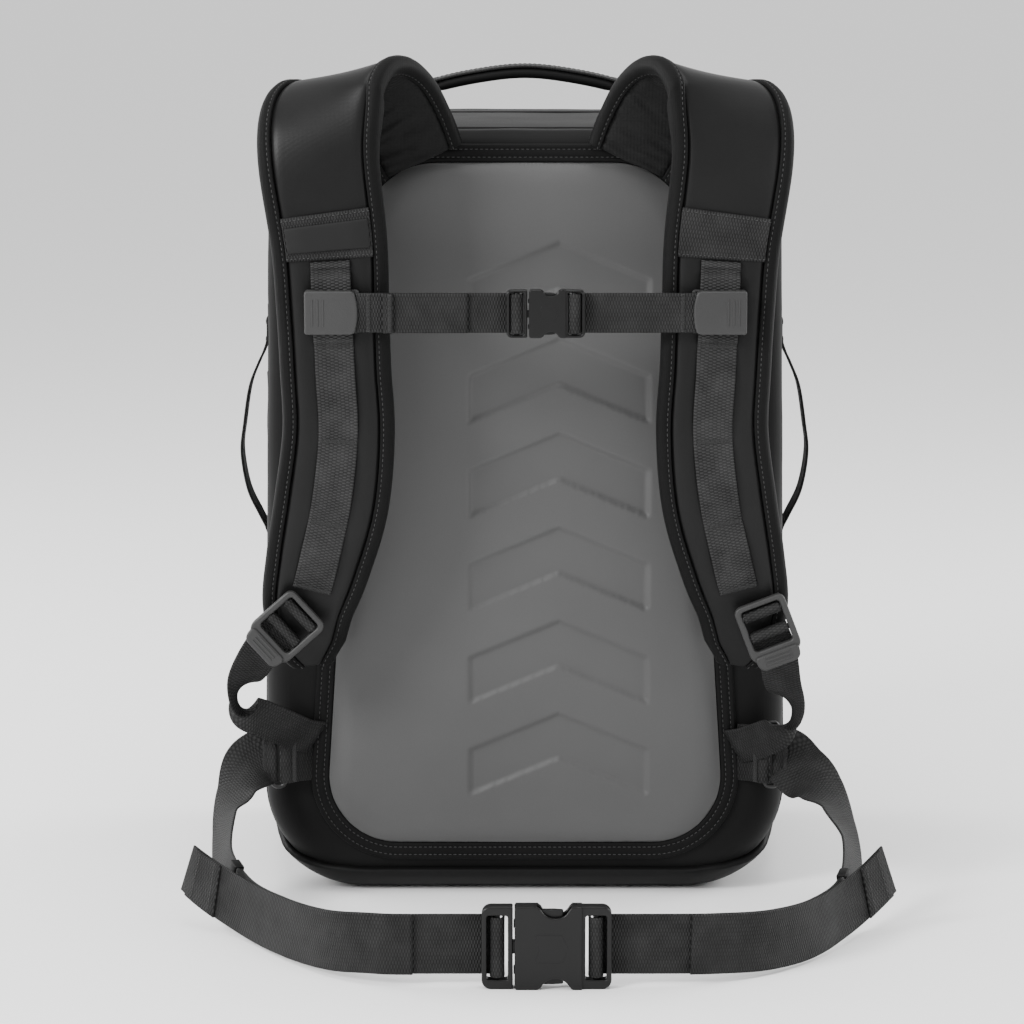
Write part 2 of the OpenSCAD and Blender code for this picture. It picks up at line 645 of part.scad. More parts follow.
// Webbing turned round a buckle's upright bar. Its two ends meet the strip behind the frame.
module upright_wrap(x, y, z, w, t) translate([x, y, z]) rotate([0, 90, 0])
    webbing_wrap(w, t * ladder_share / 2 + 0.1);

module sternum_wrap(x) color("#232325") upright_wrap(x, st_y, st_z, web_w, sternum_buckle_t);
module belt_wrap(x) color("#232325") upright_wrap(x, bb_y, bb_z, belt_w, belt_buckle_t);

// ---------- sternum strap ----------

module sternum_clip(side) color("#3a3a3c") on_side(side) difference() {
    translate([clip_x - clip_w / 2, lash_y - 8, st_z - clip_h / 2])
        cube([clip_w, 8 + web_t / 2 + 0.4 + clip_back, clip_h]);
    // the way through for the lashing webbing
    translate([clip_x - clip_slot_w / 2, lash_y - web_t / 2 - 0.4, st_z - clip_h])
        cube([clip_slot_w, web_t + 0.8, 2 * clip_h]);
    // the slot that holds the sternum webbing's sewn end
    translate([clip_x - clip_w / 2 - 1, st_web_y - 1.7, st_z - web_w / 2 - 0.2]) cube([7, 3.4, web_w + 0.4]);
}

// The webbing runs behind the buckle's frames, and the free tail runs in front of it
st_web_y = st_y + sternum_buckle_t * ladder_share / 2 + 0.2 + web_t / 2;
st_tail_y = st_web_y - web_t - 0.3;
module strip(x0, x1, y, z, w) translate([x0, y - web_t / 2, z - w / 2]) cube([x1 - x0, web_t, w]);

clip_reach = clip_x - clip_w / 2 + 5;
module sternum_webbing_left() color("#232325")
    strip(-clip_reach, st_mouth - st_play - st_ladder / 2, st_web_y, st_z, web_w);
module sternum_tail() color("#232325")
    strip(-clip_reach + 20, st_mouth - st_play - st_ladder - st_pull - 2, st_tail_y, st_z, web_w);
module sternum_webbing_right() color("#232325")
    strip(st_mouth + st_l + st_ladder / 2, clip_reach, st_web_y, st_z, web_w);

// ---------- waist belt ----------

belt_line_y = bb_y + belt_buckle_t * ladder_share / 2 + 0.2 + web_t / 2;       // the belt webbing behind the buckle's bars
side_x1 = hook_x2 + 15;     // where the belt leaves its folded end
belt_left_path = [
    [-side_x1, back_y - 12.5, 89, -0.35, -0.93, 0, belt_w, web_t],
    [-side_x1 - 8, back_y - 20, 76, -0.7, -0.7, 0.05, belt_w, web_t],
    [-side_x1 - 15, back_y - 33, 58, -0.85, -0.5, 0.12, belt_w, web_t],
    [-side_x1 - 13, back_y - 63, bb_z + 8, -0.9, -0.42, 0.1, belt_w, web_t],
    [-176, back_y - 105, bb_z - 4, -0.85, -0.5, 0.02, belt_w, web_t],
    [-150, back_y - 147, bb_z - 5, -0.7, -0.7, 0, belt_w, web_t],
    [-122, back_y - 181, bb_z - 3, -0.5, -0.86, 0, belt_w, web_t],
    [-96, belt_line_y + 2.7, bb_z, -0.2, -1, 0, belt_w, web_t],
    [-80, belt_line_y, bb_z, 0, -1, 0, belt_w, web_t],
    [-50, belt_line_y, bb_z, 0, -1, 0, belt_w, web_t],
    [bb_mouth - bb_play - bb_ladder / 2, belt_line_y, bb_z, 0, -1, 0, belt_w, web_t]];
belt_right_path = [
    [side_x1, back_y - 12.5, 87, 0.35, -0.93, 0, belt_w, web_t],
    [side_x1 + 12, back_y - 21, 78, 0.6, -0.8, 0.15, belt_w, web_t],
    [side_x1 + 23, back_y - 35, 64, 0.8, -0.55, 0.3, belt_w, web_t],
    [side_x1 + 30, back_y - 61, bb_z + 17, 0.92, -0.35, 0.25, belt_w, web_t],
    [202, back_y - 106, bb_z - 1, 0.88, -0.45, 0.05, belt_w, web_t],
    [180, back_y - 147, bb_z - 5, 0.72, -0.7, 0, belt_w, web_t],
    [150, back_y - 178, bb_z - 4, 0.5, -0.86, 0, belt_w, web_t],
    [115, belt_line_y + 4.7, bb_z - 1, 0.2, -1, 0, belt_w, web_t],
    [85, belt_line_y, bb_z, 0, -1, 0, belt_w, web_t],
    [bb_mouth + bb_l + bb_ladder / 2, belt_line_y, bb_z, 0, -1, 0, belt_w, web_t]];

module belt_webbing_left() color("#232325") sweep(stations(belt_left_path, 0, 10, 70));
module belt_webbing_right() color("#232325") sweep(stations(belt_right_path, 0, 9, 63));

// The free tails lie on the outside of the belt and spring away from it at their folded ends
tail_off = web_t + 0.5;
module belt_tail(path, u0, u1) color("#232325")
    sweep([for (i = [0:30]) let (u = u0 + (u1 - u0) * i / 30, s = station(path, u),
            lift = i > 22 ? 0.35 * (i - 22) * (i - 22) : 0)
        moved(s, 0, tail_off + lift, belt_w, web_t)]);

// Flat hooks of plated steel join the belt to webbing tabs sewn into the panel's seam.
// Both bars of a hook are upright.
belt_axis_z = 97;
hook_y = back_y - 8.4;
hook_r = 1.6;
hook_h = belt_w + 2;
fold_r = hook_r + 0.1 + web_t;

module upright(z, h) translate([0, 0, z - h / 2]) linear_extrude(h) children();

module belt_anchor_tabs() color("#232325") for (side = [-1, 1]) on_side(side)
    upright(belt_axis_z, belt_w) difference() {
        union() {
            translate([hook_x1, hook_y]) circle(fold_r, $fn = 40);
            polygon([[seam_x + sewn, back_y - 0.3], [seam_x + sewn, back_y - 2.7],
                [hook_x1 - 3, hook_y - 1.4], [hook_x1 - 3, hook_y + 1.4]]);
        }
        translate([hook_x1, hook_y]) circle(hook_r + 0.1, $fn = 40);
    }

module belt_hooks() color("#8c8c90") for (side = [-1, 1]) on_side(side) {
    for (x = [hook_x1, hook_x2]) translate([x, hook_y, belt_axis_z - hook_h / 2 - 1])
        cylinder(r = hook_r, h = hook_h + 2, $fn = 40);
    for (z = [belt_axis_z - hook_h / 2 - 3, belt_axis_z + hook_h / 2])
        translate([hook_x1 - hook_r - 0.6, hook_y - 2, z]) cube([hook_x2 - hook_x1 + 2 * hook_r + 1.2, 4, 3]);
}

// The ends of the belt, folded round the hooks and sewn down
module belt_end_folds() color("#232325") for (side = [-1, 1]) on_side(side)
    upright(belt_axis_z, belt_w) difference() {
        union() {
            translate([hook_x2, hook_y]) circle(fold_r, $fn = 40);
            translate([hook_x2, hook_y - fold_r]) square([3.5, 2 * fold_r]);
        }
        translate([hook_x2, hook_y]) circle(hook_r + 0.1, $fn = 40);
    }

// ---------- nodes ----------

rear_shell();
side_gusset();
front_shell();
base_boot();
back_panel();
panel_binding();
frame_sheet();
inner_sleeve();
zip_tape_fixed();
zip_end_caps();
top_handle_anchors();
side_lash();
side_handle_anchors();
belt_anchor_tabs();
belt_hooks();
belt_end_folds();
lower_webbing_left();
lower_webbing_right();
strap_pad(-1);  // strap_pad_left
strap_pad(1);  // strap_pad_right
strap_tapes(-1);  // strap_tapes_left
strap_tapes(1);  // strap_tapes_right
strap_lash();
strap_bands();
blank_patch();
lock_loops();
ladder_lock(-1);  // ladder_lock_left
adjuster_wrap(-1);  // adjuster_wrap_left
ladder_lock(1);  // ladder_lock_right
adjuster_wrap(1);  // adjuster_wrap_right
sternum_clip(-1);  // sternum_clip_left
sternum_webbing_left();
sternum_tail();
sternum_male();
sternum_wrap(st_mouth - st_play - st_ladder / 2);  // sternum_wrap_left
sternum_wrap(st_mouth + st_l + st_ladder / 2);  // sternum_wrap_right
sternum_prong(1);  // sternum_prong_top
sternum_prong(-1);  // sternum_prong_bottom
sternum_female();
sternum_webbing_right();
sternum_clip(1);  // sternum_clip_right
belt_webbing_left();
belt_tail(belt_left_path, 8.4, 3);  // belt_tail_left
belt_male();
belt_wrap(bb_mouth - bb_play - bb_ladder / 2);  // belt_wrap_left
belt_wrap(bb_mouth + bb_l + bb_ladder / 2);  // belt_wrap_right
belt_prong(1);  // belt_prong_top
belt_prong(-1);  // belt_prong_bottom
belt_female();
belt_webbing_right();
belt_tail(belt_right_path, 7.5, 3.4);  // belt_tail_right
top_handle_grip();
top_handle_webbing();
side_handle(-1);  // side_handle_left
side_handle(1);  // side_handle_right
lid_panel();
zip_tape_lid();
lid_lash();
zip_slider();
zip_pull();
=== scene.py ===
import math

import bmesh
import bpy
import numpy as np
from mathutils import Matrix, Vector, noise


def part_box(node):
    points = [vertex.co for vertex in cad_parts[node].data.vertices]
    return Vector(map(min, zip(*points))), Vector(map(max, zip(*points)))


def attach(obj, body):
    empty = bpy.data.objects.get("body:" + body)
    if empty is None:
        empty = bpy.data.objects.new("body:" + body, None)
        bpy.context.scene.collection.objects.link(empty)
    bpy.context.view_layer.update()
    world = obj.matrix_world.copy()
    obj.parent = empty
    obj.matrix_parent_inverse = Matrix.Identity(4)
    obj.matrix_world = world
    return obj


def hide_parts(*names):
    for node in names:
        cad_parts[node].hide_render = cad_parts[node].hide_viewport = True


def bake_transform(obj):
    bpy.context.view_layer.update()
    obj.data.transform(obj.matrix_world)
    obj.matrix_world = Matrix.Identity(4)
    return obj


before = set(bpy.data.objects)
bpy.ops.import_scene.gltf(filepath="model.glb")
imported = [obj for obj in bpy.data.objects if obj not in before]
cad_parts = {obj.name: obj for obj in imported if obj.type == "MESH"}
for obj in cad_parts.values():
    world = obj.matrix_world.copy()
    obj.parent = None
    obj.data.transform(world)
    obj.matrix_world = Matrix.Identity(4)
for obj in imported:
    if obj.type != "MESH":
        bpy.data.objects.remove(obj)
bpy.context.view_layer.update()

# Sizes are in millimetres, in the model's frame: +Z is up and -Y is the harness side.
MM = 0.001


def low(node):
    return np.array(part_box(node)[0]) / MM


def high(node):
    return np.array(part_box(node)[1]) / MM


# ---------- driving sizes, from the frame ----------

body_w = 2 * high("side_gusset")[0]
body_h = high("side_gusset")[2]
back_y = low("rear_shell")[1]
front_y = high("front_shell")[1]
seam_rear = back_y + 30
seam_front = front_y - 45
wall = 3.0
boot_wall = 5.0
foot_r, foot_edge = 65.0, 24.0
top_r, top_edge = 62.0, 12.0
web_w, web_t = 25.0, 1.6
belt_w = high("belt_end_folds")[2] - low("belt_end_folds")[2]
bar_r = 1.8
pad_t = 13.0
edge_w = 9.0
sewn = 0.1


# ---------- camera ----------

def make_camera():
    """Stands well back on the harness side, a little above the bag, with a long lens."""
    camera = bpy.data.cameras.new("camera")
    camera.lens = 127.7
    camera.sensor_width = 36
    camera.clip_end = 50
    place = bpy.data.objects.new("camera", camera)
    place.location = (-0.0085, -2.4475, 0.6716)
    place.rotation_euler = (math.radians(90 - 10.07), 0, 0)
    bpy.context.scene.collection.objects.link(place)
    bpy.context.scene.camera = place


# ---------- meshes ----------

def vec(*v):
    return np.array(v, float)


def unit(v):
    return v / np.linalg.norm(v)


class Shape:
    """Points in millimetres, faces and a UV for each point, gathered before they become one mesh."""

    def __init__(self):
        self.points = np.zeros((0, 3))
        self.uvs = np.zeros((0, 2))
        self.faces = []
        self.materials = []

    def add(self, points, faces, uvs=None, material=0):
        start = len(self.points)
        points = np.asarray(points, float).reshape(-1, 3)
        self.points = np.vstack([self.points, points])
        self.uvs = np.vstack([self.uvs, np.zeros((len(points), 2)) if uvs is None else uvs])
        self.faces += [tuple(start + i for i in f) for f in faces]
        self.materials += [material] * len(faces)
        return self

    def grid(self, rows, around=False, uvs=None, material=0, ends=False):
        """Quads between rows of points. around closes each row on itself, ends caps the first and last."""
        n, m = len(rows), len(rows[0])
        span = m if around else m - 1
        faces = [(i * m + j, i * m + (j + 1) % m, (i + 1) * m + (j + 1) % m, (i + 1) * m + j)
                 for i in range(n - 1) for j in range(span)]
        if ends:
            faces.append(tuple(range(m))[::-1])
            faces.append(tuple((n - 1) * m + j for j in range(m)))
        return self.add(rows, faces, None if uvs is None else np.reshape(uvs, (-1, 2)), material)


def mesh_object(name, shape, materials, fix_normals=True, merge=0.0):
    """The finished mesh of a shape, in metres, with outward faces."""
    mesh = bpy.data.meshes.new(name)
    mesh.from_pydata((shape.points * MM).tolist(), [], shape.faces)
    mesh.polygons.foreach_set("material_index", shape.materials)
    layer = mesh.uv_layers.new(name="strip")
    index = np.zeros(len(mesh.loops), int)
    mesh.loops.foreach_get("vertex_index", index)
    layer.data.foreach_set("uv", shape.uvs[index].ravel())
    if fix_normals or merge:
        bm = bmesh.new()
        bm.from_mesh(mesh)
        if merge:
            bmesh.ops.remove_doubles(bm, verts=bm.verts, dist=merge * MM)
        if fix_normals:
            bmesh.ops.recalc_face_normals(bm, faces=bm.faces)
        bm.to_mesh(mesh)
        bm.free()
    mesh.shade_smooth()
    for material in materials if isinstance(materials, (list, tuple)) else [materials]:
        mesh.materials.append(material)
    item = bpy.data.objects.new(name, mesh)
    bpy.context.scene.collection.objects.link(item)
    return item


def modify(item, kind, **settings):
    modifier = item.modifiers.new(kind.lower(), kind)
    for key, value in settings.items():
        setattr(modifier, key, value)
    return modifier


def bake_modifiers(item):
    """Turns an object's modifiers into plain mesh."""
    graph = bpy.context.evaluated_depsgraph_get()
    mesh = bpy.data.meshes.new_from_object(item.evaluated_get(graph))
    old = item.data
    item.modifiers.clear()
    item.data = mesh
    if old.users == 0 and isinstance(old, bpy.types.Mesh):
        bpy.data.meshes.remove(old)
    return item


def fit_piece(item, body, slot, *nodes):
    """Says which body a piece rides on and the CAD nodes that it stands for. slot is not used."""
    if isinstance(body, str):
        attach(item, body)
    if nodes:
        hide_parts(*nodes)
    return item


def crisp(item, width=0.6, segments=3, angle=32):
    """Rounds the sharp edges of a moulded piece."""
    modify(item, "BEVEL", width=width * MM, segments=segments, limit_method="ANGLE",
           angle_limit=math.radians(angle), use_clamp_overlap=True)
    modify(item, "WEIGHTED_NORMAL", keep_sharp=True)
    return bake_modifiers(item)


def copy_of(node, material, width=0.6, name=None):
    """A CAD node's own form as one welded mesh with rounded edges."""
    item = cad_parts[node]
    mesh = item.data.copy()
    bm = bmesh.new()
    bm.from_mesh(mesh)
    bmesh.ops.remove_doubles(bm, verts=bm.verts, dist=0.01 * MM)
    bmesh.ops.dissolve_limit(bm, angle_limit=math.radians(1), verts=bm.verts, edges=bm.edges)
    bm.to_mesh(mesh)
    bm.free()
    mesh.materials.clear()
    mesh.materials.append(material)
    mesh.shade_smooth()
    made = bpy.data.objects.new(name or node + "_finished", mesh)
    bpy.context.scene.collection.objects.link(made)
    return crisp(made, width)


# ---------- strips ----------
# A path is a list of [x, y, z, face normal x, y, z, width, thickness], and a station is
# (centre, width direction, face normal, width, thickness).

def spline(path, u):
    n = len(path) - 1
    i = min(int(u), n - 1)
    a, b, c, d = (np.array(path[k], float) for k in (max(i - 1, 0), i, i + 1, min(i + 2, n)))
    t = u - i
    return 0.5 * (2 * b + (c - a) * t + (2 * a - 5 * b + 4 * c - d) * t * t
                  + (3 * b - a - 3 * c + d) * t ** 3)


def station(path, u):
    n = len(path) - 1
    q = spline(path, u)
    run = unit(spline(path, min(u + 0.02, n))[:3] - spline(path, max(u - 0.02, 0))[:3])
    face = unit(q[3:6] - (q[3:6] @ run) * run)
    return q[:3], np.cross(face, run), face, q[6], q[7]


def stations(path, u0, u1, steps):
    return [station(path, u0 + (u1 - u0) * i / steps) for i in range(steps + 1)]


def moved(s, across, off, w, t):
    return s[0] + across * s[1] + off * s[2], s[1], s[2], w, t


def mirrored(sts):
    """The same stations on the other side of the bag."""
    flip = vec(-1, 1, 1)
    return [(s[0] * flip, s[1] * flip, s[2] * flip, s[3], s[4]) for s in sts]


def lengths(sts):
    """How far along the strip each station is."""
    steps = [0] + [np.linalg.norm(b[0] - a[0]) for a, b in zip(sts, sts[1:])]
    return np.cumsum(steps)


def web_profile(w, t):
    """A webbing's section: flat faces and round selvedges, which stand a little thicker."""
    e = 0.55 * t
    half = [(-w / 2, 0), (-w / 2 + e * 0.3, t * 0.36), (-w / 2 + e, t / 2), (-w / 2 + e + 1.2, t * 0.46),
            (-w / 4, t * 0.46), (0, t * 0.46), (w / 4, t * 0.46), (w / 2 - e - 1.2, t * 0.46),
            (w / 2 - e, t / 2), (w / 2 - e * 0.3, t * 0.36)]
    return half + [(-a, -b) for a, b in half]


def sweep(sts, profile, shape=None, material=0, ends=True):
    """A closed skin along stations. profile gives the section's points for a width and a thickness."""
    shape = shape or Shape()
    rows, uvs = [], []
    for s, v in zip(sts, lengths(sts)):
        section = profile(s[3], s[4])
        rows.append([s[0] + a * s[1] + b * s[2] for a, b in section])
        uvs.append([(a, v) for a, b in section])
    return shape.grid(rows, around=True, uvs=uvs, material=material, ends=ends)


def webbing(name, sts, material):
    return mesh_object(name, sweep(sts, web_profile), material)


def row_on(sts, across, off):
    """A line along a strip, for stitches, with the strip's face normal at each point."""
    points = [s[0] + across * s[1] + (off + s[4] / 2) * s[2] for s in sts]
    return points, [s[2] for s in sts], False


def row_across(s, inset, off=0.05, side=1):
    """A line across a strip at one station."""
    half = s[3] / 2 - inset
    points = [s[0] + a * s[1] + side * (off + s[4] / 2) * s[2] for a in np.linspace(-half, half, 6)]
    return points, [side * s[2]] * 6, False


def bent_path(points, faces, w, t):
    """Stations along a plain list of points, each with its own face normal."""
    points = [np.array(p, float) for p in points]
    sts = []
    for i, (p, face) in enumerate(zip(points, faces)):
        run = unit(points[min(i + 1, len(points) - 1)] - points[max(i - 1, 0)])
        face = unit(np.array(face, float) - (np.array(face, float) @ run) * run)
        sts.append((p, np.cross(face, run), face, w, t))
    return sts


def wrap_stations(bar, side, back, w, t, radius, tail):
    """Webbing turned round a bar. side points along the frame and back behind it."""
    across = unit(np.cross(side, back))
    sts = []
    for sign, steps in ((1, np.linspace(tail, 0, 4)[:-1]), (0, np.linspace(0, 180, 19)),
                        (-1, np.linspace(0, tail, 4)[1:])):
        for step in steps:
            if sign:
                normal = sign * side
                centre = bar + normal * radius + back * step
            else:
                a = math.radians(step)
                normal = math.cos(a) * side - math.sin(a) * back
                centre = bar + normal * radius
            sts.append((centre, across, normal, w, t))
    return sts


# ---------- repeated trim: stitches, zip teeth, bar tacks ----------

def trim_tree(name, solid):
    """Sets a small solid at even steps along every line of the mesh it is given. Each line carries
    the face normal of the cloth under it, and the tree ends in real geometry with its material."""
    tree = bpy.data.node_groups.new(name, "GeometryNodeTree")
    face = tree.interface
    face.new_socket("Lines", in_out="INPUT", socket_type="NodeSocketGeometry")
    for label, value in (("Step", 0.003), ("Length", 0.002), ("Width", 0.0006), ("Height", 0.0004),
                         ("Turn", 0.0)):
        face.new_socket(label, in_out="INPUT", socket_type="NodeSocketFloat").default_value = value
    face.new_socket("Finish", in_out="INPUT", socket_type="NodeSocketMaterial")
    face.new_socket("Trim", in_out="OUTPUT", socket_type="NodeSocketGeometry")
    make, join = tree.nodes.new, tree.links.new
    given, result = make("NodeGroupInput"), make("NodeGroupOutput")
    curve, even = make("GeometryNodeMeshToCurve"), make("GeometryNodeResampleCurve")
    place = make("GeometryNodeInstanceOnPoints")
    even.mode = "LENGTH"
    join(given.outputs["Lines"], curve.inputs["Mesh"])
    join(curve.outputs["Curve"], even.inputs["Curve"])
    join(given.outputs["Step"], even.inputs["Length"])
    join(even.outputs["Curve"], place.inputs["Points"])
    if solid == "thread":
        body = make("GeometryNodeMeshUVSphere")
        body.inputs["Segments"].default_value = 6
        body.inputs["Rings"].default_value = 5
        body.inputs["Radius"].default_value = 0.5
        smooth = make("GeometryNodeSetShadeSmooth")
        join(body.outputs["Mesh"], smooth.inputs["Geometry"])
        join(smooth.outputs["Geometry"], place.inputs["Instance"])
    else:
        body = make("GeometryNodeMeshCube")
        body.inputs["Size"].default_value = (1, 1, 1)
        join(body.outputs["Mesh"], place.inputs["Instance"])
    tangent, normal = make("GeometryNodeInputTangent"), make("GeometryNodeInputNamedAttribute")
    normal.data_type = "FLOAT_VECTOR"
    normal.inputs["Name"].default_value = "face"
    along_line = make("FunctionNodeAlignRotationToVector")
    on_cloth = make("FunctionNodeAlignRotationToVector")
    along_line.axis = "X"
    on_cloth.axis = "Z"
    on_cloth.pivot_axis = "X"
    join(tangent.outputs["Tangent"], along_line.inputs["Vector"])
    join(along_line.outputs["Rotation"], on_cloth.inputs["Rotation"])
    join(normal.outputs["Attribute"], on_cloth.inputs["Vector"])
    turn, turned = make("FunctionNodeAxisAngleToRotation"), make("FunctionNodeRotateRotation")
    turn.inputs["Axis"].default_value = (0, 0, 1)
    join(given.outputs["Turn"], turn.inputs["Angle"])
    turned.rotation_space = "LOCAL"
    join(on_cloth.outputs["Rotation"], turned.inputs["Rotation"])
    join(turn.outputs["Rotation"], turned.inputs["Rotate By"])
    join(turned.outputs["Rotation"], place.inputs["Rotation"])
    size = make("ShaderNodeCombineXYZ")
    for axis, label in zip("XYZ", ("Length", "Width", "Height")):
        join(given.outputs[label], size.inputs[axis])
    join(size.outputs["Vector"], place.inputs["Scale"])
    real, finish = make("GeometryNodeRealizeInstances"), make("GeometryNodeSetMaterial")
    join(place.outputs["Instances"], real.inputs["Geometry"])
    join(real.outputs["Geometry"], finish.inputs["Geometry"])
    join(given.outputs["Finish"], finish.inputs["Material"])
    join(finish.outputs["Geometry"], result.inputs["Trim"])
    return tree


def trim(name, tree, rows, material, body, slot, **sizes):
    """One piece of trim on one body. rows are (points, face normals, closed), and sizes are the
    tree's named inputs in millimetres, or degrees for the turn."""
    points, edges, faces = [], [], []
    for line, normals, closed in rows:
        start, n = len(points), len(line)
        points += [tuple(np.array(p) * MM) for p in line]
        faces += [tuple(f) for f in normals]
        edges += [(start + i, start + i + 1) for i in range(n - 1)]
        if closed:
            edges.append((start + n - 1, start))
    mesh = bpy.data.meshes.new(name)
    mesh.from_pydata(points, edges, [])
    mesh.attributes.new("face", "FLOAT_VECTOR", "POINT").data.foreach_set("vector", np.ravel(faces))
    item = bpy.data.objects.new(name, mesh)
    bpy.context.scene.collection.objects.link(item)
    modifier = item.modifiers.new("trim", "NODES")
    sockets = {s.name: s.identifier for s in tree.interface.items_tree if s.in_out == "INPUT"}
    modifier.node_group = tree
    for label, value in sizes.items():
        modifier[sockets[label]] = math.radians(value) if label == "Turn" else value * MM
    modifier[sockets["Finish"]] = material
    bake_modifiers(item)
    return fit_piece(item, body, slot)


# ---------- moulded plates ----------

def rounded(corners, n=6):
    """An outline whose corners are (x, z, radius), with each corner turned into an arc."""
    outline = []
    for i, (x, z, r) in enumerate(corners):
        p, a, b = vec(x, z), vec(*corners[i - 1][:2]), vec(*corners[(i + 1) % len(corners)][:2])
        if r <= 0:
            outline.append(p)
            continue
        u, v = unit(a - p), unit(b - p)
        half = math.acos(np.clip(u @ v, -1, 1)) / 2
        reach = min(r / math.tan(half), 0.48 * min(np.linalg.norm(a - p), np.linalg.norm(b - p)))
        r = reach * math.tan(half)
        centre = p + unit(u + v) * r / math.sin(half)
        start, end = p + u * reach - centre, p + v * reach - centre
        turn = math.atan2(start[0] * end[1] - start[1] * end[0], start @ end)
        for k in range(n + 1):
            t = turn * k / n
            outline.append(centre + vec(start[0] * math.cos(t) - start[1] * math.sin(t),
                                        start[0] * math.sin(t) + start[1] * math.cos(t)))
    return outline


def box_line(x0, x1, half, r0, r1=None):
    """A rounded rectangle from x0 to x1, reaching as far below the middle as above it."""
    r1 = r0 if r1 is None else r1
    return rounded([(x0, -half, r0), (x1, -half, r1), (x1, half, r1), (x0, half, r0)])


def arc_points(cx, cz, r, a, b, n=10):
    return [vec(cx + r * math.cos(math.radians(a + (b - a) * i / n)),
                cz + r * math.sin(math.radians(a + (b - a) * i / n))) for i in range(n + 1)]


def plate(outline, holes, y0, y1, edge, place=lambda p: p, segments=3):
    """A plate in the XZ plane between two depths, with rounded edges, as a mesh in millimetres."""
    curve = bpy.data.curves.new("plate", "CURVE")
    curve.dimensions = "2D"
    curve.fill_mode = "BOTH"
    for loop in [outline] + list(holes):
        spline_2d = curve.splines.new("POLY")
        spline_2d.points.add(len(loop) - 1)
        for point, (x, z) in zip(spline_2d.points, loop):
            point.co = (x, z, 0, 1)
        spline_2d.use_cyclic_u = True
    curve.extrude = (y1 - y0) / 2 - edge
    curve.bevel_depth = edge
    curve.bevel_resolution = segments
    curve.offset = -edge
    holder = bpy.data.objects.new("plate", curve)
    bpy.context.scene.collection.objects.link(holder)
    graph = bpy.context.evaluated_depsgraph_get()
    mesh = bpy.data.meshes.new_from_object(holder.evaluated_get(graph))
    points = np.zeros(len(mesh.vertices) * 3)
    mesh.vertices.foreach_get("co", points)
    points = points.reshape(-1, 3)
    faces = [tuple(f.vertices) for f in mesh.polygons]
    middle = (y0 + y1) / 2
    moved_points = [place(vec(x, middle - z, y)) for x, y, z in points]
    bpy.data.objects.remove(holder)
    bpy.data.curves.remove(curve)
    bpy.data.meshes.remove(mesh)
    return moved_points, faces


def full_turn(n):
    """The angles of n even steps round a circle."""
    return np.linspace(0, 2 * math.pi, n + 1)[:-1]


def rod(a, b, r, n=20):
    """A round bar from a to b."""
    run = unit(b - a)
    side = unit(np.cross(run, vec(0.3, 1, 0.2)))
    up = np.cross(run, side)
    rows = [[p + r * (math.cos(2 * math.pi * k / n) * side + math.sin(2 * math.pi * k / n) * up)
             for k in range(n)]
            for p in (a, b)]
    return rows


def moulded(name, parts, rods, material):
    """Plates and round bars moulded in one, as a single piece."""
    shape = Shape()
    for points, faces in parts:
        shape.add(points, faces)
    for a, b, r in rods:
        shape.grid(rod(a, b, r), around=True, ends=True)
    item = mesh_object(name, shape, material, merge=0.001)
    modify(item, "WEIGHTED_NORMAL", keep_sharp=True)
    return bake_modifiers(item)


# ---------- finishes ----------

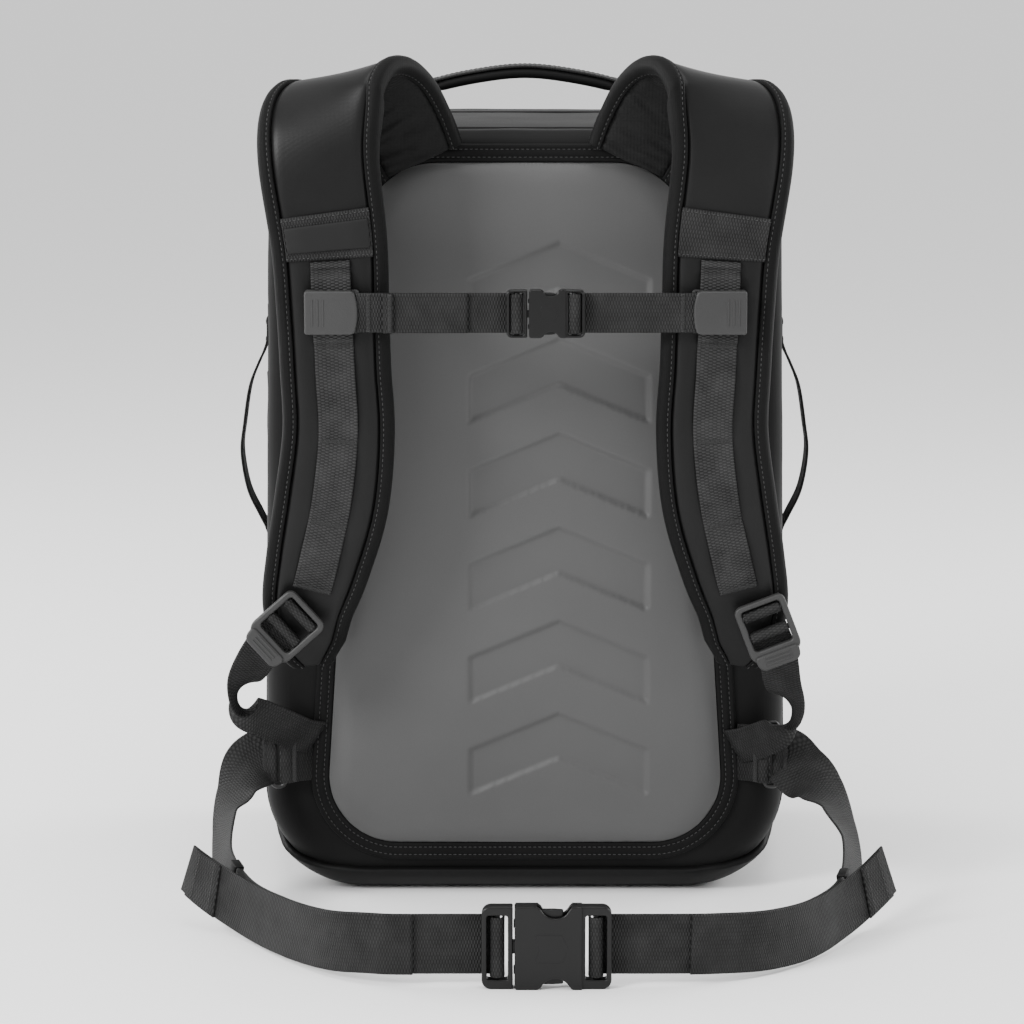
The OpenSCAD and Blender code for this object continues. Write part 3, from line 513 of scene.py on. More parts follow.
class Finish:
    """One procedural material: a colour that varies, a height for the bump, and a roughness."""

    def __init__(self, name, dark, light, rough, sheen=0.0, metal=0.0, specular=0.5):
        self.material = bpy.data.materials.new(name)
        self.material.use_nodes = True
        self.tree = self.material.node_tree
        self.shader = self.tree.nodes["Principled BSDF"]
        self.shader.inputs["Metallic"].default_value = metal
        self.shader.inputs["Sheen Weight"].default_value = sheen
        self.shader.inputs["Sheen Roughness"].default_value = 0.4
        self.shader.inputs["Specular IOR Level"].default_value = specular
        self.dark, self.light, self.rough = dark, light, rough
        self.coords = self.tree.nodes.new("ShaderNodeTexCoord")
        self.place = self.coords.outputs["Object"]

    def node(self, kind, **inputs):
        made = self.tree.nodes.new(kind)
        for label, value in inputs.items():
            socket = made.inputs[label.replace("_", " ")]
            if isinstance(value, bpy.types.NodeSocket):
                self.tree.links.new(value, socket)
            else:
                socket.default_value = value
        return made

    def math(self, operation, a, b=0.0, c=0.0):
        made = self.tree.nodes.new("ShaderNodeMath")
        made.operation = operation
        for socket, value in zip(made.inputs, (a, b, c)):
            if isinstance(value, bpy.types.NodeSocket):
                self.tree.links.new(value, socket)
            else:
                socket.default_value = value
        return made.outputs[0]

    def noise(self, scale, detail=3.0, rough=0.55, vector=None):
        """Noise whose grains are about 1/scale metres across."""
        return self.node("ShaderNodeTexNoise", Vector=vector or self.place, Scale=scale, Detail=detail,
                         Roughness=rough).outputs["Fac"]

    def wave(self, value, pitch, shift=0.0):
        """A wave from 0 to 1 that repeats once in each pitch of a length."""
        turned = self.math("ADD", self.math("MULTIPLY", value, 2 * math.pi / pitch), shift)
        return self.math("MULTIPLY_ADD", self.math("SINE", turned), 0.5, 0.5)

    def axes(self, vector=None):
        parts = self.node("ShaderNodeSeparateXYZ", Vector=vector or self.place)
        return parts.outputs["X"], parts.outputs["Y"], parts.outputs["Z"]

    def strip_axes(self):
        """Across and along a strip, in millimetres, from its own UV map."""
        across, along, _ = self.axes(self.coords.outputs["UV"])
        return across, along

    def ramp(self, value, stops):
        made = self.tree.nodes.new("ShaderNodeValToRGB")
        self.tree.links.new(value, made.inputs["Fac"])
        while len(made.color_ramp.elements) < len(stops):
            made.color_ramp.elements.new(0.5)
        for element, (at, shade) in zip(made.color_ramp.elements, stops):
            element.position = at
            element.color = (*shade, 1) if hasattr(shade, "__len__") else (shade, shade, shade, 1)
        return made.outputs["Color"]

    def done(self, tone, height=None, depth=0.3, strength=0.7, rough_by=None, rough_span=0.12):
        """tone from 0 to 1 runs the colour from dark to light. depth is the bump's, in millimetres."""
        join = self.tree.links.new
        join(self.ramp(tone, [(0.0, self.dark), (1.0, self.light)]), self.shader.inputs["Base Color"])
        share = rough_by or tone
        span = self.math("MULTIPLY_ADD", share, rough_span, self.rough - rough_span / 2)
        join(span, self.shader.inputs["Roughness"])
        if height is not None:
            bump = self.node("ShaderNodeBump", Strength=strength, Distance=depth * MM, Height=height)
            join(bump.outputs["Normal"], self.shader.inputs["Normal"])
        return self.material


def grey(v, cool=0.0):
    return (v, v, v * (1 + cool))


def webbing_finish(name, dark, light, rib=1.55, fine=2.5):
    """Nylon webbing: ribs across it, in columns that sit half a rib out of step, with fuzzy selvedges, and
    painted highlights and painted shade in its colour.
    """
    f = Finish(name, dark, light, 0.55, sheen=0.0, specular=0.14)
    across, along = f.strip_axes()
    column = f.math("SINE", f.math("MULTIPLY", across, math.pi / fine))
    step = f.math("MULTIPLY", f.math("SIGN", column), math.pi / 2)
    ribs = f.wave(along, rib, step)
    between = f.math("POWER", f.math("ABSOLUTE", column), 0.35)
    weave = f.math("MULTIPLY", ribs, between)
    fuzz = f.noise(2600, 3)
    worn = f.noise(60, 4)
    height = f.math("MULTIPLY_ADD", fuzz, 0.25, weave)
    # the tone follows the weave: painted highlights on the rib tops and painted shade in the grooves between
    # ribs and columns, over slow random wear
    tone = f.math("MULTIPLY_ADD", f.math("SUBTRACT", worn, 0.5), 0.9,
                  f.math("MULTIPLY_ADD", weave, 0.55, 0.2))
    return f.done(tone, height, depth=0.45, strength=0.9, rough_by=fuzz)


def cloth_finish(name, dark, light, rough, pitch=0.0007, depth=0.12, sheen=0.02, blotch=14, specular=0.2):
    """Plain cloth: a fine even weave in all three directions under slow changes of tone."""
    f = Finish(name, dark, light, rough, sheen=sheen, specular=specular)
    x, y, z = f.axes()
    weave = f.math("ADD", f.math("ADD", f.wave(x, pitch), f.wave(y, pitch)), f.wave(z, pitch))
    slow, fine = f.noise(blotch, 4), f.noise(900, 3)
    tone = f.math("MULTIPLY_ADD", f.math("SUBTRACT", fine, 0.5), 0.5,
                  f.math("MULTIPLY_ADD", slow, 1.3, -0.15))
    height = f.math("MULTIPLY_ADD", weave, 0.33, f.math("MULTIPLY", fine, 0.5))
    return f.done(tone, height, depth=depth, strength=0.6, rough_by=slow, rough_span=0.16)


def moulded_finish(name, dark, light, rough, grain=1500, depth=0.1, scuffs=0.35, specular=0.3):
    """Moulded plastic or rubber with a spark-eroded grain and a few paler scuffs."""
    f = Finish(name, dark, light, rough, specular=specular)
    sparks, slow = f.noise(grain, 2, 0.5), f.noise(22, 5)
    x, y, z = f.axes()
    streaks = f.node("ShaderNodeCombineXYZ", X=f.math("MULTIPLY", x, 60), Y=f.math("MULTIPLY", y, 60),
                     Z=f.math("MULTIPLY", z, 900)).outputs[0]
    scratches = f.noise(1.0, 6, 0.7, vector=streaks)
    marks = f.math("MULTIPLY", f.math("GREATER_THAN", scratches, 0.66), scuffs)
    tone = f.math("ADD", f.math("MULTIPLY_ADD", sparks, 0.35, f.math("MULTIPLY", slow, 0.5)), marks)
    return f.done(tone, sparks, depth=depth, strength=0.5, rough_by=slow, rough_span=0.18)


def panel_finish():
    """Satin skin over moulded foam: a very fine grain, slow tone and a worn sheen."""
    f = Finish("foam_skin", grey(0.045), grey(0.075), 0.46, sheen=0.0, specular=0.26)
    grain, slow, pores = f.noise(1700, 3), f.noise(9, 3), f.noise(420, 2)
    tone = f.math("MULTIPLY_ADD", grain, 0.45, f.math("MULTIPLY", slow, 0.6))
    height = f.math("MULTIPLY_ADD", pores, 0.4, grain)
    return f.done(tone, height, depth=0.12, strength=0.45, rough_by=slow, rough_span=0.14)


def metal_finish():
    f = Finish("black_steel", grey(0.03), grey(0.06), 0.36, metal=1.0)
    x, y, z = f.axes()
    brushed = f.noise(1.0, 4, 0.6, vector=f.node("ShaderNodeCombineXYZ", X=f.math("MULTIPLY", x, 3000),
                      Y=f.math("MULTIPLY", y, 3000), Z=f.math("MULTIPLY", z, 60)).outputs[0])
    return f.done(brushed, brushed, depth=0.05, strength=0.4, rough_span=0.2)


def thread_finish(name, dark, light):
    f = Finish(name, dark, light, 0.5, sheen=0.05, specular=0.3)
    fibre = f.noise(3500, 2)
    return f.done(fibre, fibre, depth=0.08, strength=0.6)


SHELL = cloth_finish("shell_cloth", grey(0.004), grey(0.007), 0.58, pitch=0.0009, depth=0.08, specular=0.08)
BOOT = moulded_finish("boot_rubber", grey(0.004), grey(0.009), 0.5, grain=700, depth=0.12, scuffs=0.1,
                      specular=0.1)
PANEL = panel_finish()
BINDING = cloth_finish("binding_tape", grey(0.002), grey(0.006), 0.62, pitch=0.0011, depth=0.2, specular=0.08)
STRAP = cloth_finish("strap_cloth", grey(0.003), grey(0.007), 0.4, pitch=0.0008, depth=0.07, specular=0.15)
LINING = cloth_finish("mesh_lining", grey(0.003), grey(0.008), 0.7, pitch=0.0022, depth=0.5, specular=0.16)
SHEET = moulded_finish("stiffener_sheet", grey(0.45), grey(0.6), 0.5, grain=300, depth=0.1, scuffs=0.05)
ZIP = moulded_finish("zip_rubber", grey(0.005), grey(0.011), 0.42, grain=900, depth=0.08)
TRIM = moulded_finish("moulded_trim", grey(0.010), grey(0.02), 0.45)
HARNESS = webbing_finish("harness_webbing", grey(0.002), grey(0.026), rib=1.8)
LASH = webbing_finish("lash_webbing", grey(0.003), grey(0.042), rib=2.0, fine=2.5)
PATCH = moulded_finish("patch_rubber", grey(0.006), grey(0.012), 0.6, grain=1100, depth=0.1, scuffs=0.05,
                       specular=0.15)
HARDWARE = moulded_finish("textured_nylon", grey(0.018), grey(0.040), 0.45, grain=1300, depth=0.2,
                          scuffs=0.05, specular=0.25)
BUCKLE = moulded_finish("buckle_nylon", grey(0.004), grey(0.009), 0.32, grain=1700, depth=0.05, scuffs=0.05,
                        specular=0.2)
STEEL = metal_finish()
THREAD = thread_finish("bonded_thread", grey(0.022), grey(0.045))
TACK = thread_finish("tack_thread", grey(0.010), grey(0.026))

STITCHES = trim_tree("stitches", "thread")
TEETH = trim_tree("zip_teeth", "block")


def running_stitch(name, rows, body, slot="harness_webbing", step=3.4, length=2.5, width=0.62):
    return trim(name, STITCHES, rows, THREAD, body, slot, Step=step, Length=length, Width=width, Height=0.5)


def bar_tacks(name, rows, body, slot="harness_webbing"):
    return trim(name, STITCHES, rows, TACK, body, slot, Step=0.8, Length=3.6, Width=0.7, Height=0.8, Turn=82)


# ---------- shell ----------

def outline(foot, foot_radius, top, top_radius, foot_rim=0.0, top_rim=0.0, step=9.0):
    """Points round two lower and two upper discs, seen from behind, anticlockwise from the middle
    of the base: x, z, outward normal x and z, and the radius of the edge there."""
    run = vec(foot[0] - top[0], foot[1] - top[1])
    lean = math.acos((top_radius - foot_radius) / np.linalg.norm(run)) - abs(math.atan2(run[1], run[0]))
    half = []
    for x in np.arange(0, foot[0], step):
        half.append((x, foot[1] - foot_radius, 0, -1, foot_rim))
    turns = max(4, int(foot_radius * 1.6 / (step * 0.75)))
    for a in np.linspace(-math.pi / 2, lean, turns + 1):
        half.append((foot[0] + foot_radius * math.cos(a), foot[1] + foot_radius * math.sin(a), math.cos(a),
                     math.sin(a), foot_rim))
    a, b = half[-1], vec(top[0] + top_radius * math.cos(lean), top[1] + top_radius * math.sin(lean))
    n = max(2, int((b[1] - a[1]) / step))
    for t in np.arange(1, n) / n:
        half.append((a[0] + (b[0] - a[0]) * t, a[1] + (b[1] - a[1]) * t, math.cos(lean), math.sin(lean),
                     foot_rim + (top_rim - foot_rim) * t))
    turns = max(4, int(top_radius * 1.6 / (step * 0.75)))
    for a in np.linspace(lean, math.pi / 2, turns + 1):
        half.append((top[0] + top_radius * math.cos(a), top[1] + top_radius * math.sin(a), math.cos(a),
                     math.sin(a), top_rim))
    n = max(1, int(top[0] / step))
    for t in np.arange(1, n + 1) / n:
        half.append((top[0] * (1 - t), top[1] + top_radius, 0, 1, top_rim))
    left = [(-x, z, -nx, nz, r) for x, z, nx, nz, r in half[1:-1]][::-1]
    return np.array(half + left)


def shell_outline(step=9.0):
    return outline((body_w / 2 - foot_r, boot_wall + foot_r), foot_r,
                   (body_w / 2 - 6 - top_r, body_h - top_r), top_r, foot_edge, top_edge, step)


def panel_outline(step=6.0):
    lo, hi = low("back_panel"), high("back_panel")
    foot, top = 45.0, 50.0
    return outline((hi[0] - foot + sewn, lo[2] + foot - sewn), foot, (56.0, hi[2] - top + sewn), top,
                   step=step)


def ring(line, grow, y):
    """The outline moved out by grow, at a depth y. Both can differ from point to point."""
    grow, y = np.broadcast_to(grow, len(line)), np.broadcast_to(y, len(line))
    return np.column_stack([line[:, 0] + line[:, 2] * grow, y, line[:, 1] + line[:, 3] * grow])


def edge_ring(line, turn, side, grow=0.0):
    """The outline on the rounded edge towards the back (side -1) or the front, turned by 0 to 90 degrees."""
    rim = line[:, 4] + grow
    a = math.radians(turn)
    y = side * (front_y + grow - rim + rim * math.sin(a))
    return ring(line, grow - rim * (1 - math.cos(a)), y)


def wall_ring(line, y, grow=0.0):
    return ring(line, grow, y)


def soft(points, size, amount, seed=0.0):
    """How far cloth stands in or out at each point: slow noise, a few folds and nothing sharp."""
    return np.array([amount * noise.noise(Vector((p[0] / size, p[1] / size, p[2] / size + seed)))
                     for p in points])


def rumple(rows, line, fade, size=55.0, amount=0.9, seed=0.0):
    """Moves rings of the shell in and out a little, less where fade is low."""
    out = []
    for row, share in zip(rows, fade):
        shift = soft(row, size, amount, seed) + soft(row, size * 0.35, amount * 0.3, seed + 7)
        shift = np.minimum(shift, 0.4) * share
        row = row.copy()
        row[:, 0] += line[:, 2] * shift
        row[:, 2] += line[:, 3] * shift
        out.append(row)
    return out


def skin(name, shape, material, thickness, body, slot, *cad):
    """A shell piece: one outer skin, given its thickness inwards."""
    item = mesh_object(name, shape, material, merge=0.02)
    modify(item, "SOLIDIFY", thickness=thickness * MM, offset=-1, use_even_offset=True)
    bake_modifiers(item)
    return fit_piece(item, body, slot, *cad)


def lid_outline(grow, step=8.0):
    """The lid's edge, anticlockwise from its lower right corner seen from outside, open at the hinge line."""
    lo, hi = low("lid_panel"), high("lid_panel")
    r = 58.0 + grow
    x, top = hi[0] + grow, hi[2] + grow
    n = int((top - r - lo[2]) / step)
    line = [(x, lo[2] + (top - r - lo[2]) * i / n, 1, 0) for i in range(n)]
    line += [(x - r + r * math.cos(a), top - r + r * math.sin(a), math.cos(a), math.sin(a))
             for a in np.linspace(0, math.pi / 2, 16)]
    n = int((2 * x - 2 * r) / step)
    line += [(x - r - (2 * x - 2 * r) * i / n, top, 0, 1) for i in range(1, n)]
    half = [(-a, b, -c, d) for a, b, c, d in line[:-(n - 1)]][::-1]
    return np.array(line + half)


def toward(line, centre, loop):
    """Where rays from centre through each point of line meet a closed convex loop."""
    met = []
    for x, z in line:
        ray = vec(x, z) - centre
        best = None
        for p, q in zip(loop, np.roll(loop, -1, axis=0)):
            side = q - p
            cross = ray[0] * side[1] - ray[1] * side[0]
            if abs(cross) < 1e-9:
                continue
            rel = p - centre
            t = (rel[0] * side[1] - rel[1] * side[0]) / cross
            s = (rel[0] * ray[1] - rel[1] * ray[0]) / cross
            if t > 0 and -1e-9 <= s <= 1 + 1e-9:
                best = t
        met.append(centre + ray * best)
    return np.array(met)


def make_shell():
    line = shell_outline()
    rear = [wall_ring(line, seam_rear - sewn)]
    start = back_y + line[:, 4]
    rear += [ring(line, 0, seam_rear - sewn + (start - seam_rear + sewn) * t) for t in (0.35, 0.7)]
    rear += [edge_ring(line, turn, -1) for turn in np.linspace(0, 90, 9)]
    rear = rumple(rear, line, [0, 0.6] + [0.8] * 3 + [0.4] * 7, seed=3.0)
    for inward in (8, 18, 30):
        rear.append(ring(line, -line[:, 4] - inward, back_y))
    shape = Shape().grid(rear, around=True)
    n = len(line)
    shape.faces.append(tuple(len(shape.points) - n + i for i in range(n)))
    shape.materials.append(0)
    skin("rear_wall", shape, SHELL, wall, "bag", "shell_fabric", "rear_shell")

    depths = np.linspace(seam_rear, seam_front - sewn, 17)
    sides = [wall_ring(line, y) for y in depths]
    fade = np.sin(np.linspace(0, math.pi, 17)) ** 0.7
    skin("side_wall", Shape().grid(rumple(sides, line, fade, amount=1.3), around=True), SHELL, wall,
         "bag", "shell_fabric", "side_gusset")

    front = [wall_ring(line, seam_front)]
    start = front_y - line[:, 4]
    front += [ring(line, 0, seam_front + (start - seam_front) * t) for t in (0.35, 0.7)]
    front += [edge_ring(line, turn, 1) for turn in np.linspace(0, 90, 9)]
    front = rumple(front, line, [0, 0.6] + [0.8] * 3 + [0.4] * 7, seed=11.0)
    hole = lid_outline(1.0)[:, :2]
    centre = vec(0, (hole[:, 1].min() + hole[:, 1].max()) / 2)
    last = front[-1]
    inner = toward(last[:, [0, 2]], centre, hole)
    for corner in hole[[0, -1]]:
        inner[np.argmin(np.linalg.norm(inner - corner, axis=1))] = corner
    for t in (0.15, 0.4, 0.7, 1.0):
        flat = last[:, [0, 2]] * (1 - t) + inner * t
        front.append(np.column_stack([flat[:, 0], np.full(len(flat), front_y), flat[:, 1]]))
    skin("front_wall", Shape().grid(front, around=True), SHELL, wall, "bag", "shell_fabric", "front_shell")

    # welded tape over the two seams
    tape = Shape()
    for seam in (seam_rear, seam_front):
        section = [(-5.5, 0.0), (-5.2, 0.5), (-4.4, 0.8), (0, 0.95), (4.4, 0.8), (5.2, 0.5), (5.5, 0.0),
                   (0, -0.3)]
        tape.grid([ring(line, g, seam + dy) for dy, g in section + section[:1]], around=True)
    fit_piece(mesh_object("welded_seam_tapes", tape, SHELL, merge=0.02), "bag", "shell_fabric")


# ---------- boot ----------

RIM_Y = (back_y - 9, seam_rear, front_y - 60, front_y + 9)
RIM_Z = (12.0, 30.0, 72.0, 78.0)


def below_rim(row, columns=121):
    """The part of a ring below the boot's rim, resampled evenly from left to right."""
    n = len(row)
    order = np.roll(row, n // 2, axis=0)
    rim = np.interp(order[:, 1], RIM_Y, RIM_Z)
    under = order[:, 2] <= rim + 1e-6
    first, last = np.argmax(under), n - 1 - np.argmax(under[::-1])

    def cross(out, inside):
        a, b = order[out], order[inside]
        da, db = a[2] - rim[out], b[2] - rim[inside]
        return a + (b - a) * (da / (da - db)) if abs(da - db) > 1e-9 else b

    line = np.vstack([cross(first - 1, first), order[first:last + 1], cross(last + 1, last)])
    run = np.concatenate([[0], np.cumsum(np.linalg.norm(np.diff(line, axis=0), axis=1))])
    at = np.linspace(0, run[-1], columns)
    return np.column_stack([np.interp(at, run, line[:, k]) for k in range(3)])


def make_boot():
    line = shell_outline(4.0)
    rows = []
    rings = {turn: edge_ring(line, turn, -1, boot_wall) for turn in range(90)}
    steepest = max(t for t, r in rings.items() if r[:, 2].min() < np.interp(r[0, 1], RIM_Y, RIM_Z) - 0.3)
    for turn in np.linspace(steepest, 0, 7):
        rows.append(below_rim(edge_ring(line, turn, -1, boot_wall)))
    for y in np.linspace(back_y + foot_edge, front_y - foot_edge, 16)[1:-1]:
        rows.append(below_rim(wall_ring(line, y, boot_wall)))
    for turn in np.linspace(0, 90, 9):
        rows.append(below_rim(edge_ring(line, turn, 1, boot_wall)))
    end = rows[-1]
    reach = end[:, 0].max()
    top = np.column_stack([np.linspace(end[0, 0], end[-1, 0], len(end)), end[:, 1],
                           np.full(len(end), end[0, 2])])
    rows += [end * (1 - t) + top * t for t in (0.25, 0.5, 0.75, 1.0)]
    shape = Shape().grid(rows)
    item = mesh_object("moulded_boot", shape, BOOT, merge=0.05)
    modify(item, "SOLIDIFY", thickness=(boot_wall - sewn) * MM, offset=-1)
    bake_modifiers(item)
    fit_piece(item, "bag", "boot_rubber", "base_boot")

    # a rounded bead along the rim
    bead = Shape()
    tube = [(1.5 * math.cos(a), 1.5 * math.sin(a)) for a in full_turn(8)]
    for end in (0, -1):
        points = [row[end] - vec(0, 0, 1.5) for row in rows[10:-4]]
        faces = [vec(math.copysign(1, p[0]), 0, 0) for p in points]
        sweep(bent_path(points, faces, 3.0, 3.0), lambda w, t: tube, bead)
    fit_piece(mesh_object("boot_rim_beads", bead, BOOT), "bag", "boot_rubber")


# ---------- back panel ----------

def panel_relief(x, z):
    """Depth of the moulded pattern: a stack of sunk chevrons."""
    lo, hi = low("back_panel")[2], high("back_panel")[2]
    middle = 22.0
    half, pitch, bar, slope = 58.0, 62.0, 30.0, 0.42
    first = lo + 58
    phase = (z - first + np.abs(x - middle) * slope) / pitch
    index = np.floor(phase)
    within = (phase - index) * pitch
    gap = np.minimum(within, bar - within)
    side = half - np.abs(x - middle)
    inside = np.minimum(gap, side)
    inside = np.where((index < 0) | (index > 5), -9.0, inside)
    t = np.clip((inside + 1.8) / 3.6, 0, 1)
    return 2.3 * t * t * (3 - 2 * t)


def make_back_panel():
    line = panel_outline(2.5)
    loop = line[:, :2]
    lo, hi = loop[:, 1].min(), loop[:, 1].max()
    near = np.array([0, 0.3, 0.8, 1.5, 2.4, 3.5, 4.8, 6.2, 7.6])
    zs = np.concatenate([lo + near, np.linspace(lo + 9, hi - 9, 268), (hi - near)[::-1]])
    right = loop[loop[:, 0] >= -1e-6]
    right = right[np.argsort(right[:, 1], kind="stable")]
    bottom = right[:, 1] <= lo + 1e-6
    top = right[:, 1] >= hi - 1e-6
    widths = right[~bottom & ~top]
    knots_z = np.concatenate([[lo], widths[:, 1], [hi]])
    knots_x = np.concatenate([[right[bottom][:, 0].max()], widths[:, 0], [right[top][:, 0].max()]])
    share = np.concatenate([-1 + near / 129, np.linspace(-1 + 9 / 129, 1 - 9 / 129, 150),
                            (1 - near / 129)[::-1]])
    rows, uvs = [], []
    for z in zs:
        half = np.interp(z, knots_z, knots_x)
        xs = share * half
        distance = np.min(np.hypot(xs[:, None] - loop[None, :, 0], z - loop[None, :, 1]), axis=1)
        t = np.clip(distance / 19, 0, 1)
        height = 2.0 + 6.4 * (1 - (1 - t) ** 2.4)
        fade = np.clip((distance - 14) / 10, 0, 1)
        height -= fade * panel_relief(xs, z)
        rows.append(np.column_stack([xs, back_y - height, np.full(len(xs), z)]))
        uvs.append(np.column_stack([xs, np.full(len(xs), z)]))
    shape = Shape().grid(rows, uvs=uvs)
    item = mesh_object("padded_back_panel", shape, PANEL, fix_normals=False, merge=0.01)
    bm = bmesh.new()
    bm.from_mesh(item.data)
    border = [e for e in bm.edges if e.is_boundary]
    grown = bmesh.ops.extrude_edge_only(bm, edges=border)
    for v in [g for g in grown["geom"] if isinstance(g, bmesh.types.BMVert)]:
        v.co.y = (back_y - sewn) * MM
    bmesh.ops.contextual_create(bm, geom=[g for g in grown["geom"] if isinstance(g, bmesh.types.BMEdge)])
    bmesh.ops.recalc_face_normals(bm, faces=bm.faces)
    bm.to_mesh(item.data)
    bm.free()
    item.data.shade_smooth()
    fit_piece(item, "bag", "panel_foam", "back_panel")


def make_binding():
    line = panel_outline(4.0)
    section = [(0.15, 0.1), (0.15, 1.7), (0.9, 2.5), (2.2, 2.75), (3.1, 2.45), (3.6, 2.1), (4.1, 2.45),
               (5.0, 2.85), (6.2, 3.0), (7.4, 2.85), (8.2, 2.45), (8.7, 2.1), (9.2, 2.45), (10.2, 2.8),
               (11.2, 2.6), (11.9, 1.8), (12.1, 0.9), (11.9, 0.1)]
    rows = []
    for g, h in section + section[:1]:
        row = ring(line, g, back_y - h)
        pucker = soft(row, 7.0, 0.18 if h > 1 else 0, 5.0)
        row[:, 1] -= pucker
        rows.append(row)
    fit_piece(mesh_object("panel_binding_tape", Shape().grid(rows, around=True), BINDING, merge=0.001),
              "bag", "binding_tape", "panel_binding")
    rows = [(list(ring(line, g, back_y - 2.35)), [vec(0, -1, 0)] * len(line), True) for g in (3.6, 8.7)]
    running_stitch("panel_binding_stitches", rows, "bag", "binding_tape", step=3.3, length=2.3, width=0.55)


# ---------- lid and zip ----------

tape_t = 1.2
chain_t = 2.2


def path_band(line, inner, outer, y, height):
    """A soft-edged band that follows the lid's edge from inner to outer."""
    section = [(inner, 0.0), (inner + 0.2, height * 0.8), (inner + 0.9, height), (outer - 0.9, height),
               (outer - 0.2, height * 0.8), (outer, 0.0)]
    rows = []
    for i in range(len(line)):
        x, z, nx, nz = line[i]
        rows.append([vec(x + nx * g, y + h, z + nz * g) for g, h in section])
    return rows


def zip_half(name, grow, sign, body, cad):
    lo_z = low(cad)[2]
    line = lid_outline(grow)
    line = np.array([p if p[1] > lo_z + 1 else (p[0], lo_z, p[2], p[3]) for p in line])
    shape = Shape()
    width = 11.0
    inner, outer = sorted((0.0, sign * width))
    shape.grid(path_band(line, inner, outer, front_y + sewn, tape_t), around=True, ends=True)
    inner, outer = sorted((sign * 1.4, sign * 3.8))
    shape.grid(path_band(line, inner, outer, front_y + tape_t, chain_t * 0.55), around=True, ends=True)
    fit_piece(mesh_object(name, shape, ZIP, merge=0.001), body, "zip_tape", cad)

    def beside(offset, height):
        points = [vec(x + nx * sign * offset, front_y + tape_t + height, z + nz * sign * offset)
                  for x, z, nx, nz in line]
        return [(points, [vec(0, 1, 0)] * len(points), False)]

    trim(name + "_teeth", TEETH, beside(1.3, chain_t * 0.5), TRIM, body, "zip_tape",
         Step=2.0, Length=1.15, Width=2.5, Height=chain_t * 0.85)
    running_stitch(name + "_stitches", beside(8.2, 0.1), body, "zip_tape", step=3.2, length=2.3, width=0.5)


def lash_stations(x, y, z0, z1, bays, stand, normal, steps=8):
    bay = (z1 - z0) / bays
    path = []
    for i in range(bays * 2 + 1):
        off = 0 if i % 2 == 0 else stand
        place = vec(x, y, z0 + i * bay / 2) + np.array(normal) * (web_t / 2 + sewn + off)
        path.append([*place, *normal, web_w, web_t])
    tacks = [station(path, i * 2 + (0.12 if i == 0 else -0.12 if i == bays else 0)) for i in range(bays + 1)]
    return stations(path, 0, bays * 2, bays * steps), tacks


def make_lid():
    hinge_z = low("lid_panel")[2]
    loop = lid_outline(0.0)[:, :2]
    edge = []
    for a, b in zip(loop, loop[1:]):
        edge.append(a)
    edge.append(loop[-1])
    bottom = [vec(loop[-1][0] + (loop[0][0] - loop[-1][0]) * i / 24, hinge_z) for i in range(1, 24)]
    edge = np.array(edge + bottom)
    edge[:, 1] = np.maximum(edge[:, 1], hinge_z + wall + 0.2)     # room to fold outwards over the hinge line
    centre = vec(0, (edge[:, 1].min() + edge[:, 1].max()) / 2)
    rows = []
    for t in (0.0, 0.02, 0.08, 0.16, 0.26, 0.38, 0.52, 0.66, 0.8, 0.92):
        flat = edge * (1 - t) + centre * t
        points = np.column_stack([flat[:, 0], np.full(len(flat), front_y), flat[:, 1]])
        sag = soft(points, 70, 1.6, 21.0) - 0.8
        points[:, 1] += np.minimum(sag, 0) * min(1, t / 0.16)
        rows.append(points)
    shape = Shape().grid(rows, around=True)
    n = len(edge)
    shape.faces.append(tuple(len(shape.points) - n + i for i in range(n)))
    shape.materials.append(0)
    item = mesh_object("lid_cloth", shape, SHELL, merge=0.02)
    modify(item, "SOLIDIFY", thickness=wall * MM, offset=-1)
    bake_modifiers(item)
    for v in item.data.vertices:
        v.co.y = min(v.co.y, front_y * MM)
    fit_piece(item, "lid", "shell_fabric", "lid_panel")
    zip_half("zip_tape_outer", 1.0, 1, "bag", "zip_tape_fixed")
    zip_half("zip_tape_inner", 0.0, -1, "lid", "zip_tape_lid")

    x = low("lid_lash")[0] + web_w / 2
    lash, tacks = Shape(), []
    for side in (-1, 1):
        sts, ties = lash_stations(side * abs(x), front_y, hinge_z + 14, high("lid_lash")[2], 6, 2.4,
                                  (0, 1, 0))
        sweep(sts, web_profile, lash)
        tacks += [row_across(s, 1.5) for s in ties]
    fit_piece(mesh_object("lid_lash_webbing", lash, LASH), "lid", "lash_webbing", "lid_lash")
    bar_tacks("lid_lash_tacks", tacks, "lid", "lash_webbing")

    # the cloth hinge, welded to the shell below and to the lid above
    rows = []
    for z, h in ((hinge_z - 15, 0.0), (hinge_z - 14, 0.7), (hinge_z - 6, 0.9), (hinge_z - 2, 1.1),
                 (hinge_z, 1.3), (hinge_z + 2, 1.1), (hinge_z + 5, 0.9), (hinge_z + 5.4, 0.2),
                 (hinge_z + 5, 0.1), (hinge_z - 14, 0.05)):
        rows.append([vec(x, front_y + h, z) for x in np.linspace(-104, 104, 60)])
    fold = mesh_object("lid_hinge_cloth", Shape().grid(rows + rows[:1]), SHELL, merge=0.001)
    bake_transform(fold)

    for node, body, width in (("zip_slider", "zip_runner", 0.5), ("zip_pull", "zip_tab", 0.7),
                              ("zip_end_caps", "bag", 1.1)):
        fit_piece(copy_of(node, TRIM, width), body, "moulded_trim", node)


# ---------- shoulder straps ----------

